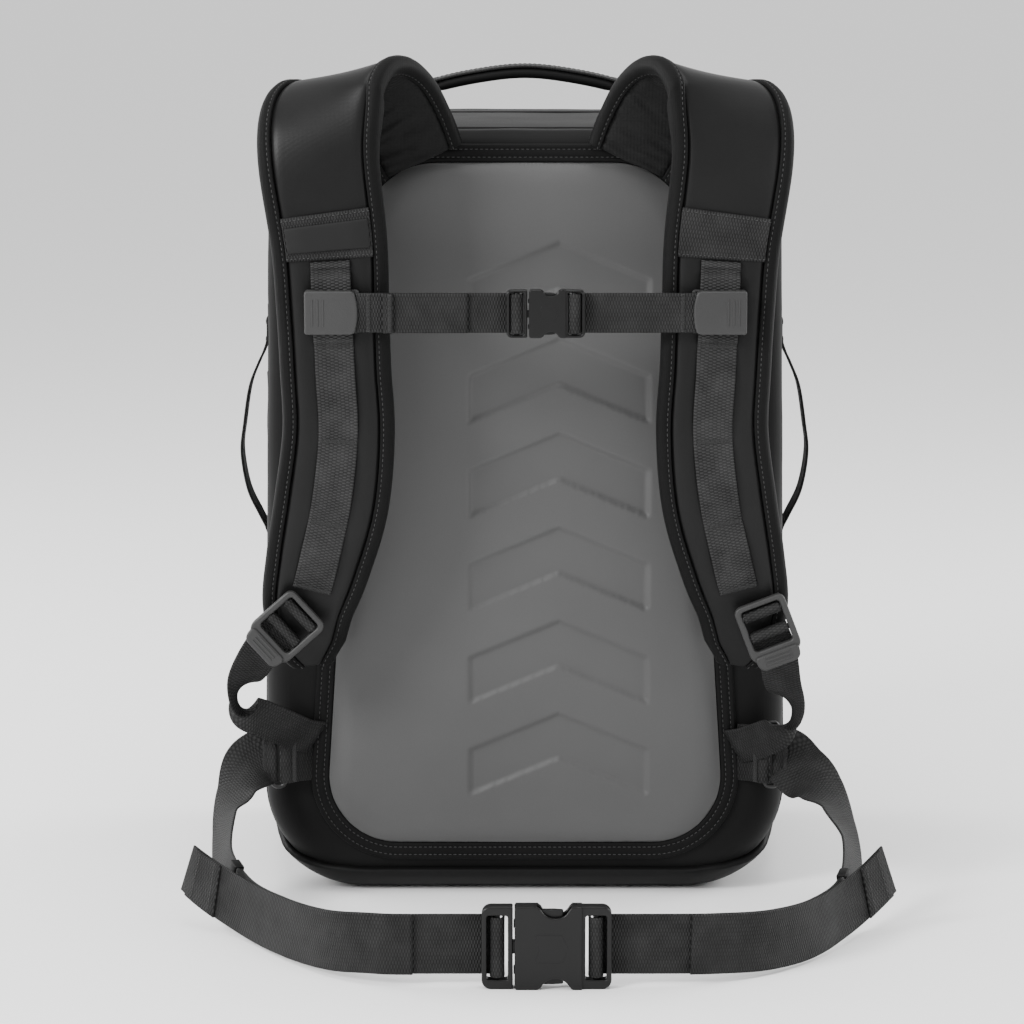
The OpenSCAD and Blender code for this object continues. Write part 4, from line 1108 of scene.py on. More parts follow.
clip_x = 121.0
strap_x = 68.0      # where the pads leave the panel's upper seam
lock_z = 202.0      # height of the ladder locks' upper bars
strap_upper = [
    [-strap_x, -6.7, -20, 0, 1, 0, 62, 6],
    [-strap_x - 9, -9, -1, -0.03, 1, 0.05, 66, 8],
    [-strap_x - 22, -16, 18, -0.1, 0.85, 0.45, 72, 11],
    [-108, -28, 31, -0.25, 0.25, 0.92, 78, pad_t],
    [-122, -44, 28, -0.3, -0.4, 0.86, 80, pad_t],
    [-128, -57, 11, -0.2, -0.85, 0.5, 79, pad_t],
    [-129, -64, -15, -0.08, -0.98, 0.18, 76, pad_t],
    [-clip_x - 2, -65, -65, 0, -1, 0, 73, pad_t],
    [-clip_x, -65, -105, 0, -1, 0, 71, pad_t],
    [-clip_x + 1.5, -65, -145, 0, -1, 0, 70, pad_t],
    [-clip_x + 3, -63, -185, 0, -1, -0.04, 71, pad_t]]
strap_lower = [
    [-123, -58, lock_z + 73, 0, -1, -0.08, 73, pad_t],
    [-132, -51, lock_z + 33, 0, -1, -0.12, 68, pad_t],
    [-139, -45, lock_z + 3, 0, -1, -0.14, 60, pad_t],
    [-139, -41.5, lock_z - 22, 0, -1, -0.14, 47, pad_t - 1],
    [-137, -39.5, lock_z - 37, 0, -1, -0.14, 28, pad_t - 3]]


def from_back(path, z):
    return [[p[0], back_y + p[1], z + p[2]] + p[3:] for p in path]


strap_path = from_back(strap_upper, body_h) + from_back(strap_lower, 0)
strap_end = len(strap_path) - 1
band_from, band_to = 6.62, 7.22
lash_knots = [7.25, 7.4, 8.6, 10.1, 11.3, 12.55]
clip_stand, clip_ramp = 4.2, 14


def strap_stations(side, u0=0.0, u1=strap_end, steps=150):
    sts = stations(strap_path, u0, u1, steps)
    return sts if side < 0 else mirrored(sts)


def crown(u):
    """How full the pad's face stands between its tapes: less under the webbing."""
    return 1.5 - 1.0 * np.clip((u - 6.2) / 0.5, 0, 1)


def pad_row(s, u, side):
    """One section of a pad: satin face, then the lining on its other side."""
    half = s[3] / 2 - edge_w + 1.2
    face, back = [], []
    for share in np.linspace(-1, 1, 15):
        across = share * half
        puff = crown(u) * (1 - share ** 2)
        if u > 6.6:     # the foam is pressed down under the webbing and rises beside it
            puff += 1.2 * math.exp(-((abs(across) - 19) / 5.5) ** 2)
        tuck = -1.6 * max(0, (abs(share) - 0.94) / 0.06)
        face.append((across, s[4] / 2 - 0.35 + puff + tuck))
        fold = 1.0 if u < 6 else 0.2
        crease = fold * 2.6 * noise.noise(Vector((across / 30 + side, u * 7.5, 3.0)))
        crease += fold * 1.3 * noise.noise(Vector((across / 12 + u, u * 13, 8.0 + side)))
        back.append((across, -(s[4] / 2 - 0.35) - 0.7 * (1 - share ** 2) + crease - tuck))
    return face, back[::-1]


def make_pad(side, label):
    sts = strap_stations(side)
    shape = Shape()
    rows, uvs = [], []
    run = lengths(sts)
    for i, s in enumerate(sts):
        u = strap_end * i / 150
        face, back = pad_row(s, u, side)
        rows.append([s[0] + a * s[1] + b * s[2] for a, b in face + back])
        uvs.append([(a, run[i]) for a, b in face + back])
    shape.grid(rows, around=True, uvs=uvs, ends=True)
    n = len(face)
    across = len(face) + len(back)
    for k in range(len(shape.faces) - 2):
        shape.materials[k] = 1 if k % across >= n - 1 else 0
    item = mesh_object("shoulder_pad_" + label, shape, [STRAP, LINING])
    modify(item, "SUBSURF", levels=1, render_levels=1)
    bake_modifiers(item)
    fit_piece(item, "bag", "strap_fabric", "strap_pad_" + label)


def tape_section(w, t, sign):
    """Tape bound round one edge of a pad, stitched down near its inner edge."""
    half = t / 2
    face = [(-edge_w, 0.1), (-edge_w + 0.2, 0.75), (-edge_w + 1.2, 0.85), (-edge_w + 2.1, 0.35),
            (-edge_w + 3.0, 0.9), (-5.0, 0.95), (-3.2, 0.5), (-1.6, -0.7), (-0.5, -2.4), (0, -0.5 * half)]
    face = [(a, half + b) for a, b in face[:-1]] + [(0, 0.3 * half)]
    section = face + [(a, -b) for a, b in face[::-1]]
    return [(sign * (w / 2 + a), b) for a, b in section]


def make_strap_tapes(side, label):
    sts = strap_stations(side)
    shape = Shape()
    for sign in (-1, 1):
        sweep(sts, lambda w, t, sign=sign: tape_section(w, t, sign), shape)
    item = mesh_object("pad_edge_tape_" + label, shape, BINDING)
    fit_piece(item, "bag", "binding_tape", "strap_tapes_" + label)
    rows = []
    for sign in (-1, 1):
        for face in (1, -1):
            points = [s[0] + sign * (s[3] / 2 - edge_w + 2.1) * s[1] + face * (s[4] / 2 + 0.5) * s[2]
                      for s in sts]
            rows.append((points, [face * s[2] for s in sts], False))
    running_stitch("pad_edge_stitches_" + label, rows, "bag", "binding_tape", step=3.3, length=2.3,
                   width=0.55)


def stand_off(u):
    """How far the lashing webbing stands off the pad: a long flat bay for the clip, then bowed bays."""
    bay = next(i for i in range(5) if u <= lash_knots[i + 1] + 1e-9)
    share = (u - lash_knots[bay]) / (lash_knots[bay + 1] - lash_knots[bay])
    if bay == 1:
        return clip_stand * min(1, clip_ramp * min(share, 1 - share))
    return 2 * math.sin(math.pi * share)


def make_lash(side):
    sts = []
    for i in range(181):
        u = lash_knots[0] + (lash_knots[-1] - lash_knots[0]) * i / 180
        s = station(strap_path, u)
        sts.append(moved(s, 0, pad_t / 2 + web_t / 2 + 0.3 + stand_off(u), web_w, web_t))
    ties = []
    for k, u in enumerate(lash_knots[1:]):
        u = u - 0.05 if k == 4 else u
        ties.append(moved(station(strap_path, u), 0, pad_t / 2 + web_t / 2 + 0.3 + stand_off(u), web_w,
                          web_t))
    return (sts, ties) if side < 0 else (mirrored(sts), mirrored(ties))


def make_harness_trim():
    """The lashing webbing, the bands across the pads, and the plain patch on the left one."""
    lash, band, tacks, seams = Shape(), Shape(), [], []
    for side in (-1, 1):
        sts, ties = make_lash(side)
        sweep(sts, web_profile, lash)
        tacks += [row_across(s, 1.5) for s in ties]
        sts = strap_stations(side, band_from, band_to, 16)
        sts = [moved(s, 0, pad_t / 2 + 1.5, s[3] - 2 * edge_w, 1.6) for s in sts]
        # woven across the pad, so its ribs run the other way
        rows, uvs = [], []
        for s, v in zip(sts, lengths(sts)):
            section = web_profile(s[3], s[4])
            rows.append([s[0] + a * s[1] + b * s[2] for a, b in section])
            uvs.append([(v, a) for a, b in section])
        band.grid(rows, around=True, uvs=uvs, ends=True)
        for k in (1, -2):
            seams.append(row_across(sts[k], 0.8, 0.02))
    fit_piece(mesh_object("strap_lash_webbing", lash, LASH), "bag", "lash_webbing", "strap_lash")
    fit_piece(mesh_object("strap_band_webbing", band, HARNESS), "bag", "lash_webbing", "strap_bands")
    bar_tacks("strap_lash_tacks", tacks, "bag", "lash_webbing")
    running_stitch("strap_band_stitches", seams, "bag", "lash_webbing", step=2.6, length=1.9, width=0.5)

    sts = [moved(s, 0, pad_t / 2 + 3.0, s[3] - 2 * edge_w - 3, 1.2)
           for s in stations(strap_path, band_from + 0.12, band_from + 0.48, 14)]
    rows = []
    for i, s in enumerate(sts):
        end = min(i, len(sts) - 1 - i)
        lift = (0.25, 0.8, 1.0)[min(end, 2)]
        half = s[3] / 2
        section = [(-half, -0.6), (-half + 0.1, 0.2 * lift), (-half + 0.8, 0.6 * lift),
                   (-half / 2, 0.62 * lift), (0, 0.62 * lift), (half / 2, 0.62 * lift),
                   (half - 0.8, 0.6 * lift), (half - 0.1, 0.2 * lift), (half, -0.6)]
        rows.append([s[0] + a * s[1] + b * s[2] for a, b in section])
    patch = mesh_object("plain_patch", Shape().grid(rows, around=True, ends=True), PATCH)
    fit_piece(patch, "bag", "patch_rubber", "blank_patch")


# ---------- ladder locks ----------

lock_w, lock_t = web_w + 9, 6.0
lock_bar_z = -14.0
wrap_centre = bar_r + 0.1 + web_t / 2
LOCKS = {-1: ("left", vec(-144, back_y - 54 - pad_t / 2, lock_z - 1), 48.0),
         1: ("right", vec(151, back_y - 54 - pad_t / 2, lock_z + 1), -21.0)}


def lock_axes(side):
    """A lock's own X and Z directions. Its face is towards -Y."""
    lean = math.radians(LOCKS[side][2])
    return vec(math.cos(lean), 0, -math.sin(lean)), vec(math.sin(lean), 0, math.cos(lean))


def lock_point(side, d, y):
    x, z = lock_axes(side)
    return LOCKS[side][1] - d * z + vec(0, y, 0)


def make_lock(side):
    label, at, lean = LOCKS[side]
    x_dir, z_dir = lock_axes(side)

    def place(p):
        return at + p[0] * x_dir + vec(0, p[1], 0) + p[2] * z_dir

    half = lock_w / 2
    frame_line = rounded([(-half, 8.2, 5), (-half, -31, 7), (half, -31, 7), (half, 8.2, 5)])
    window = rounded([(-12.9, 4.6, 2), (12.9, 4.6, 2), (12.9, -23, 2.5), (-12.9, -23, 2.5)])
    lip_line = rounded([(-13.5, -36, 5), (13.5, -36, 5), (15.2, -26, 3), (-15.2, -26, 3)])
    grip = [plate(rounded([(-9, z, 0.6), (9, z, 0.6), (9, z + 1.3, 0.6), (-9, z + 1.3, 0.6)]), [],
                  -lock_t / 2 - 2.5, -lock_t / 2 - 0.5, 0.35, place) for z in (-33.2, -30.7, -28.2)]
    parts = [plate(frame_line, [window], -lock_t / 2, lock_t / 2, 1.5, place),
             plate(lip_line, [], -lock_t / 2 - 2, lock_t / 2 - 1.6, 1.3, place)] + grip
    bars = [(place(vec(-14, 0, z)), place(vec(14, 0, z)), bar_r) for z in (0, lock_bar_z)]
    item = moulded("ladder_lock_frame_" + label, parts, bars, HARDWARE)
    fit_piece(item, "lock_" + label, "moulded_hardware", "ladder_lock_" + label)

    sts = wrap_stations(place(vec(0, 0, lock_bar_z)), z_dir, vec(0, 1, 0), web_w, web_t, wrap_centre,
                        lock_t / 2 + 0.3)
    fit_piece(webbing("adjuster_roll_" + label, sts, HARNESS), "lock_" + label, "harness_webbing",
              "adjuster_wrap_" + label)
    return wrap_stations(at, z_dir, vec(0, 1, 0), web_w - 0.6, web_t, wrap_centre, 6.0)


hook_x1, hook_x2 = 158.0, 166.0
lower_off = lock_t / 2 + 1.1 + web_t / 2


def web_end(p, nx):
    return [p[0], p[1], p[2], nx, 1, 0, web_w, web_t]


LOWER_PATHS = {
    -1: [web_end(lock_point(-1, 14, lower_off), 0), web_end(lock_point(-1, 30, lower_off), -0.1),
         [-179, back_y - 48, 160, -0.45, 0.85, -0.1, web_w, web_t],
         [-187, back_y - 40, 144, -1, 0.2, 0, web_w, web_t],
         [-183, back_y - 31, 132, -0.6, -0.8, 0.2, web_w, web_t],
         [-170, back_y - 26, 125, -0.3, -1, 0.15, web_w, web_t],
         [-hook_x1, back_y - 19.6, 118, 0, -1, 0, web_w, web_t],
         [-146, back_y - 9.5, 110, 0, -1, 0, web_w, web_t]],
    1: [web_end(lock_point(1, 14, lower_off), 0), web_end(lock_point(1, 30, lower_off), 0.1),
        [166, back_y - 49, 153, 0.35, 0.9, 0, web_w, web_t],
        [173, back_y - 38, 138, 0.8, 0.6, 0, web_w, web_t],
        [174, back_y - 29, 127, 1, -0.1, 0, web_w, web_t],
        [168, back_y - 25, 118, 0.7, -0.8, 0.1, web_w, web_t],
        [hook_x1, back_y - 19.5, 111, 0, -1, 0, web_w, web_t],
        [146, back_y - 9.5, 104, 0, -1, 0, web_w, web_t]]}


def make_lower_webbing(side):
    """From a lock's lower bar to the seam beside the back panel, turning over once."""
    label = LOCKS[side][0]
    sts = stations(LOWER_PATHS[side], 0, 7, 140)
    last = sts[-1]
    tail = [(last[0] + vec(-side * d, 0.62 * d, -0.3 * d), last[1], last[2], web_w, web_t) for d in (3, 6, 9)]
    item = webbing("adjuster_webbing_" + label, sts + tail, HARNESS)
    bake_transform(item)
    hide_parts("lower_webbing_" + label)


def make_harness():
    loops, tacks = Shape(), []
    for side in (-1, 1):
        label = LOCKS[side][0]
        make_pad(side, label)
        make_strap_tapes(side, label)
        sweep(make_lock(side), web_profile, loops)
        make_lower_webbing(side)
    fit_piece(mesh_object("lock_loop_webbing", loops, HARNESS), "bag", "harness_webbing", "lock_loops")
    make_harness_trim()


# ---------- side-release buckles ----------
# A buckle is drawn with its pull along X, its width along Z and its face towards -Y.

frame_share = 0.72


class Buckle:
    """Sizes of one side-release buckle and where its mouth is."""

    def __init__(self, at, w, l, t, slot_w, ladder, play, finish):
        self.at, self.w, self.l, self.t, self.slot_w = vec(*at), w, l, t, slot_w
        self.ladder, self.play, self.finish = ladder, play, finish

    def place(self, p):
        return self.at + p


def ladder_window(b, near, far):
    return box_line(near, far, b.slot_w / 2 + 0.2, 1.5)


def female_outline(b):
    """Waisted: a full mouth, a deep finger scoop on each side and a square shoulder."""
    half, r = b.w / 2, b.l * 0.24
    cx, cz = b.l * 0.62, half + r * 0.25
    reach = math.degrees(math.acos((cz - half) / r))
    lower = arc_points(cx, -cz, r, 90 + reach, 90 - reach, 14)
    side = [vec(1.2, -half), vec(cx - r - 1.2, -half)] + lower[1:-1] + [vec(cx + r + 0.8, -half),
                                                                        vec(b.l + 1, -half)]
    return [vec(0, -half + 1.2)] + side + [vec(x, -z) for x, z in side[::-1]] + [vec(0, half - 1.2)]


def make_female(name, b, body, cad):
    half, skin_t, t = b.w / 2, b.t * 0.2, b.t / 2
    body_line = female_outline(b)
    face = plate(body_line, [], -t, -t + skin_t + 0.3, 0.8 * min(1, b.t / 10), b.place)
    back = plate(body_line, [], t - skin_t - 0.3, t, 0.8 * min(1, b.t / 10), b.place)
    block = plate(box_line(b.l * 0.86, b.l + 1, half - 0.6, 1), [], -t + skin_t, t - skin_t, 0.2, b.place)
    parts = [face, back, block]
    for side in (-1, 1):
        z0, z1 = sorted((side * (half - 0.15), side * (half - skin_t)))
        parts.append(plate([vec(0.6, z0), vec(b.l * 0.34, z0), vec(b.l * 0.34, z1), vec(0.6, z1)], [],
                           -t + 0.5, t - 0.5, 0.15, b.place))
    near, far = b.l - 2.2, b.l + b.ladder
    ladder_t = b.t * frame_share / 2
    parts.append(plate(box_line(near, far, half, 1.0, b.w * 0.11),
                       [ladder_window(b, b.l + b.ladder * 0.16, far - b.ladder * 0.16)],
                       -ladder_t, ladder_t, 1.0, b.place))
    # a raised arrow-shaped pad in the middle of the face, under the thumb
    pad = rounded([(b.l * 0.30, -half * 0.34, 1.5), (b.l * 0.72, -half * 0.34, 1.5), (b.l * 0.82, 0, 1.5),
                   (b.l * 0.72, half * 0.34, 1.5), (b.l * 0.30, half * 0.34, 1.5), (b.l * 0.38, 0, 1.5)])
    parts.append(plate(pad, [], -t - 0.22, -t + 0.6, 0.2, b.place))
    bar_x = b.l + b.ladder / 2
    rods = [(b.place(vec(bar_x, 0, -b.slot_w / 2 - 1)), b.place(vec(bar_x, 0, b.slot_w / 2 + 1)), bar_r)]
    fit_piece(moulded(name, parts, rods, b.finish), body, "buckle_plastic", cad)


def make_male(name, b, body, cad):
    half, ladder_t = b.w / 2, b.t * frame_share / 2
    near, far = -b.ladder - b.play, -b.play
    window = ladder_window(b, near + b.ladder * 0.16, far - b.ladder * 0.16)
    tongue = rounded([(far - 2, -b.w * 0.08, 0.5), (b.l * 0.68, -b.w * 0.06, 1.2),
                      (b.l * 0.68, b.w * 0.06, 1.2), (far - 2, b.w * 0.08, 0.5)])
    parts = [plate(box_line(near, far, half, b.w * 0.11, 1.0), [window], -ladder_t, ladder_t, 1.0, b.place),
             plate(tongue, [], -b.t * 0.2, b.t * 0.2, 0.5, b.place)]
    bar_x = (near + far) / 2
    rods = [(b.place(vec(bar_x, 0, -b.slot_w / 2 - 1)), b.place(vec(bar_x, 0, b.slot_w / 2 + 1)), bar_r)]
    fit_piece(moulded(name, parts, rods, b.finish), body, "buckle_plastic", cad)


def upright_roll(name, b, x, w, body, cad):
    """Webbing turned round a buckle's upright bar, from behind the frame."""
    bar = b.place(vec(x, 0, 0))
    roll = wrap_centre + 0.06 * b.ladder
    sts = wrap_stations(bar, vec(1, 0, 0), vec(0, 1, 0), w, web_t, roll, b.t * frame_share / 2 + 0.1)
    fit_piece(webbing(name, sts, HARNESS), body, "harness_webbing", cad)


def straight(x0, x1, y, z, w, steps=24):
    return [(vec(x0 + (x1 - x0) * i / steps, y, z), vec(0, 0, 1), vec(0, -1, 0), w, web_t)
            for i in range(steps + 1)]


def make_sternum():
    lo, hi = low("sternum_female"), high("sternum_female")
    t, z = 8.0, (lo[2] + hi[2]) / 2
    b = Buckle((lo[0], (lo[1] + hi[1]) / 2, z), hi[2] - lo[2], 22, t, web_w + 1, 13, 1, BUCKLE)
    make_female("sternum_buckle_female", b, "sternum_right", "sternum_female")
    make_male("sternum_buckle_male", b, "sternum_plug", "sternum_male")
    for node, body in (("sternum_prong_top", "sternum_prong_upper"),
                       ("sternum_prong_bottom", "sternum_prong_lower")):
        fit_piece(copy_of(node, BUCKLE, 0.35), body, "buckle_plastic", node)
    upright_roll("sternum_roll_left", b, -b.play - b.ladder / 2, web_w, "sternum_plug", "sternum_wrap_left")
    upright_roll("sternum_roll_right", b, b.l + b.ladder / 2, web_w, "sternum_right", "sternum_wrap_right")

    tacks = {"sternum_left": [], "sternum_right": []}
    for node, body, name in (("sternum_webbing_left", "sternum_left", "sternum_strap_left"),
                             ("sternum_tail", "sternum_left", "sternum_strap_tail"),
                             ("sternum_webbing_right", "sternum_right", "sternum_strap_right")):
        lo, hi = low(node), high(node)
        sts = straight(lo[0], hi[0], (lo[1] + hi[1]) / 2, z, web_w)
        if node == "sternum_tail":
            # its outer end is folded over twice and sewn
            fold = [moved(s, 0, 1.7, web_w, 1.5) for s in sts[:4]]
            shape = sweep(sts, web_profile)
            sweep(fold, web_profile, shape)
            item = mesh_object(name, shape, HARNESS)
            tacks[body].append(row_across(fold[2], 1.0))
        else:
            item = webbing(name, sts, HARNESS)
        fit_piece(item, body, "harness_webbing", node)
    for side, body in ((-1, "sternum_left"), (1, "sternum_right")):
        x = side * (clip_x - 17 - 6)
        y = (low("sternum_webbing_left")[1] + high("sternum_webbing_left")[1]) / 2
        tacks[body].append(row_across((vec(x, y, z), vec(0, 0, 1), vec(0, -1, 0), web_w, web_t), 1.0))
        make_clip(side, body, z)
    for body, rows in tacks.items():
        bar_tacks(body + "_tacks", rows, body)


def make_clip(side, body, z):
    """A moulded slider: a bowed cover over the lashing webbing and a flat keeper behind it."""
    label = "left" if side < 0 else "right"
    node = "sternum_clip_" + label
    lo, hi = low(node), high(node)
    inner = side * min(abs(lo[0]), abs(hi[0]))
    outer = side * max(abs(lo[0]), abs(hi[0]))
    half = (hi[2] - lo[2]) / 2
    lash_y = lo[1] + 8

    def place(p):
        return vec(p[0], p[1], z + p[2])

    span = outer - inner
    bow = [vec(inner + span * 0.02 + side * 2.6 * (abs(t) ** 2.2), half * t)
           for t in np.linspace(-0.93, 0.93, 13)]
    cover_line = bow + [vec(inner + span * 0.16, half), vec(outer - side * 1.2, half), vec(outer, half - 1.2),
                        vec(outer, -half + 1.2), vec(outer - side * 1.2, -half),
                        vec(inner + span * 0.16, -half)]
    parts = [plate(cover_line, [], lo[1], lash_y - web_t / 2 - 0.45, 1.4, place),
             plate(box_line(inner, outer, half, 2), [],
                   lash_y + web_t / 2 + 0.45, hi[1], 0.5, place)]
    for x0, x1 in ((inner, inner + side * 2.3), (outer - side * 2.3, outer)):
        parts.append(plate(box_line(x0, x1, half - 0.6, 0.8),
                           [], lash_y - web_t / 2 - 1.2, hi[1] - 0.2, 0.3, place))
    # three plain finger ridges near the outer end
    for k in range(3):
        x = outer - side * (5.5 + 3.4 * k)
        x0, x1 = sorted((x, x + side * 1.3))
        parts.append(plate(box_line(x0, x1, half * 0.62, 0.5),
                           [], lo[1] - 0.35, lo[1] + 1, 0.3, place))
    fit_piece(moulded("sternum_slider_" + label, parts, [], HARDWARE), body, "moulded_hardware", node)


# ---------- waist belt ----------

bb_z = 26.0
bb_y = back_y - 206
belt_line_y = bb_y + 12 * frame_share / 2 + 0.2 + web_t / 2
side_x1 = hook_x2 + 15
belt_left_path = [
    [-side_x1, back_y - 12.5, 89, -0.35, -0.93, 0, belt_w, web_t],
    [-side_x1 - 8, back_y - 20, 76, -0.7, -0.7, 0.05, belt_w, web_t],
    [-side_x1 - 15, back_y - 33, 58, -0.85, -0.5, 0.12, belt_w, web_t],
    [-side_x1 - 13, back_y - 63, bb_z + 8, -0.9, -0.42, 0.1, belt_w, web_t],
    [-176, back_y - 105, bb_z - 4, -0.85, -0.5, 0.02, belt_w, web_t],
    [-150, back_y - 147, bb_z - 5, -0.7, -0.7, 0, belt_w, web_t],
    [-122, back_y - 181, bb_z - 3, -0.5, -0.86, 0, belt_w, web_t],
    [-96, belt_line_y + 2.7, bb_z, -0.2, -1, 0, belt_w, web_t],
    [-80, belt_line_y, bb_z, 0, -1, 0, belt_w, web_t],
    [-50, belt_line_y, bb_z, 0, -1, 0, belt_w, web_t],
    [-17.5, belt_line_y, bb_z, 0, -1, 0, belt_w, web_t]]
belt_right_path = [
    [side_x1, back_y - 12.5, 87, 0.35, -0.93, 0, belt_w, web_t],
    [side_x1 + 12, back_y - 21, 78, 0.6, -0.8, 0.15, belt_w, web_t],
    [side_x1 + 23, back_y - 35, 64, 0.8, -0.55, 0.3, belt_w, web_t],
    [side_x1 + 30, back_y - 61, bb_z + 17, 0.92, -0.35, 0.25, belt_w, web_t],
    [202, back_y - 106, bb_z - 1, 0.88, -0.45, 0.05, belt_w, web_t],
    [180, back_y - 147, bb_z - 5, 0.72, -0.7, 0, belt_w, web_t],
    [150, back_y - 178, bb_z - 4, 0.5, -0.86, 0, belt_w, web_t],
    [115, belt_line_y + 4.7, bb_z - 1, 0.2, -1, 0, belt_w, web_t],
    [85, belt_line_y, bb_z, 0, -1, 0, belt_w, web_t],
    [42.5, belt_line_y, bb_z, 0, -1, 0, belt_w, web_t]]
tail_off = web_t + 0.5
hook_z = 97.0
hook_y = back_y - 8.4
tab_seam_x = high("panel_binding")[0] - 1.0


def whole_belt(side, path):
    """The belt's path, begun at its hook, where it lies upright against the folded end."""
    hook_end = [[side * (hook_x2 + 0.5), hook_y, hook_z, side * 0.05, -1, 0, belt_w, web_t],
                [side * (hook_x2 + 6.5), hook_y - 1.0, hook_z - 1.5, side * 0.1, -1, 0, belt_w, web_t]]
    return stations(hook_end + path, 0, len(path) + 1, 170)


def make_belt():
    b = Buckle((low("belt_female")[0], bb_y, bb_z), belt_w + 14, 40, 12, belt_w + 2, 19, 1, BUCKLE)
    make_female("belt_buckle_female", b, "belt_right", "belt_female")
    make_male("belt_buckle_male", b, "belt_plug", "belt_male")
    for node, body in (("belt_prong_top", "belt_prong_upper"), ("belt_prong_bottom", "belt_prong_lower")):
        fit_piece(copy_of(node, BUCKLE, 0.6), body, "buckle_plastic", node)
    upright_roll("belt_roll_left", b, -b.play - b.ladder / 2, belt_w, "belt_plug", "belt_wrap_left")
    upright_roll("belt_roll_right", b, b.l + b.ladder / 2, belt_w, "belt_right", "belt_wrap_right")

    for side, label, path, u0, u1 in ((-1, "left", belt_left_path, 8.4, 3.0),
                                      (1, "right", belt_right_path, 7.5, 3.4)):
        item = webbing("waist_belt_" + label, whole_belt(side, path), HARNESS)
        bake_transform(item)
        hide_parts("belt_webbing_" + label)

        # the free tail, which springs off the belt at its folded end
        sts = []
        for i in range(61):
            u = u0 + (u1 - u0) * i / 60
            lift = 0.35 * max(0, i / 2 - 22) ** 2
            sts.append(moved(station(path, u), 0, tail_off + lift, belt_w, web_t))
        shape = sweep(sts, web_profile)
        hem = [moved(s, 0, 1.7, belt_w - 0.6, 1.5) for s in sts[-7:-1]]
        sweep(hem, web_profile, shape)
        fit_piece(mesh_object("belt_tail_webbing_" + label, shape, HARNESS), "belt_" + label,
                  "harness_webbing",
                  "belt_tail_" + label)
        running_stitch("belt_tail_stitches_" + label,
                       [row_across(hem[1], 1.5), row_across(hem[4], 1.5)], "belt_" + label, step=2.4,
                       length=1.8)
        # elastic keeper round the belt and its tail
        s = moved(station(path, u1 + (0.55 if u1 < u0 else -0.55)), 0, tail_off / 2, belt_w, web_t)
        keeper_run = np.cross(s[1], s[2])
        line = rounded([(-belt_w / 2 - 1.3, -2.6, 1.2), (belt_w / 2 + 1.3, -2.6, 1.2),
                        (belt_w / 2 + 1.3, 3.4, 1.2), (-belt_w / 2 - 1.3, 3.4, 1.2)])
        inner = [p * vec((belt_w / 2 + 0.5) / (belt_w / 2 + 1.3), 0.74) + vec(0, 0.1) for p in line]
        rows = []
        for d, loop in ((-5, inner), (-5, line), (-4.4, line), (0, line), (4.4, line), (5, line),
                        (5, inner), (0, inner), (-5, inner)):
            puff = 0.25 if loop is line and abs(d) < 4.6 else 0
            rows.append([s[0] + (x + math.copysign(puff, x)) * s[1] + (z + math.copysign(puff, z)) * s[2]
                         + d * keeper_run for x, z in loop])
        fit_piece(mesh_object("belt_keeper_" + label, Shape().grid(rows, around=True), HARNESS, merge=0.001),
                  "belt_" + label, "harness_webbing")

    make_hooks()


def bar_turn(side, x, a, b):
    """A turn round a hook's upright bar, seen from above, from angle a to b on the right-hand side."""
    if side < 0:
        a, b = 180 - a, 180 - b
    return [(side * x + 2.5 * math.cos(t), hook_y + 2.5 * math.sin(t))
            for t in np.radians(np.linspace(a, b, 13))]


def standing_webbing(path, shape):
    """Belt webbing standing on its edge at the hooks' height, along a path seen from above."""
    points = [vec(x, y, hook_z) for x, y in path]
    last = len(points) - 1
    runs = [unit(points[min(i + 1, last)] - points[max(i - 1, 0)]) for i in range(last + 1)]
    faces = [np.cross(run, vec(0, 0, 1)) for run in runs]
    sweep(bent_path(points, faces, belt_w, web_t), web_profile, shape)


def make_hooks():
    """Flat bent-wire hooks, the tabs sewn into the panel's seam, and the belt's folded ends."""
    hooks, tabs, folds, tacks = Shape(), Shape(), Shape(), []
    lo, hi = low("belt_hooks"), high("belt_hooks")
    for side in (-1, 1):
        r, half = 1.6, (hi[2] - lo[2]) / 2
        middle = (hi[2] + lo[2]) / 2
        x0, x1 = side * hook_x1, side * hook_x2
        loop = box_line(x0, x1, half - r, 3)
        centre = [vec(x, hook_y, middle + z) for x, z in loop]
        rows = []
        for i, p in enumerate(centre):
            run = unit(centre[(i + 1) % len(centre)] - centre[i - 1])
            out = np.cross(run, vec(0, 1, 0))
            rows.append([p + r * (math.cos(a) * out + math.sin(a) * vec(0, 1, 0)) for a in full_turn(16)])
        hooks.grid(rows + rows[:1], around=True)

        seam = side * tab_seam_x
        path = [(seam, back_y - 1.6), (side * (hook_x1 - 10), back_y - 4.5),
                (side * (hook_x1 - 3.5), hook_y - 2.4)]
        path += bar_turn(side, hook_x1, -100, 100)
        path += [(side * (hook_x1 - 3.5), hook_y + 2.4), (side * (hook_x1 - 10), back_y - 2.9),
                 (seam, back_y - 0.9)]
        standing_webbing(path, tabs)
        path = [(side * 170, hook_y - 2.5)] + bar_turn(side, hook_x2, 270, 90) + [(side * 170, hook_y + 2.5)]
        standing_webbing(path, folds)
        for x, y in ((hook_x1 - 6.5, hook_y - 1.7), (171, hook_y - 2.2)):
            tack = (vec(side * x, y, hook_z), vec(0, 0, 1), vec(0, -1, 0), belt_w, web_t)
            tacks.append(row_across(tack, 1.5))
    fit_piece(mesh_object("belt_hook_wires", hooks, STEEL), "bag", "hook_steel", "belt_hooks")
    fit_piece(mesh_object("belt_tab_webbing", tabs, HARNESS), "bag", "harness_webbing", "belt_anchor_tabs")
    fit_piece(mesh_object("belt_fold_webbing", folds, HARNESS), "bag", "harness_webbing", "belt_end_folds")
    bar_tacks("belt_end_tacks", tacks, "bag")


# ---------- handles ----------

handle_y, handle_half = -45.0, 80.0
grip_t = 7.0


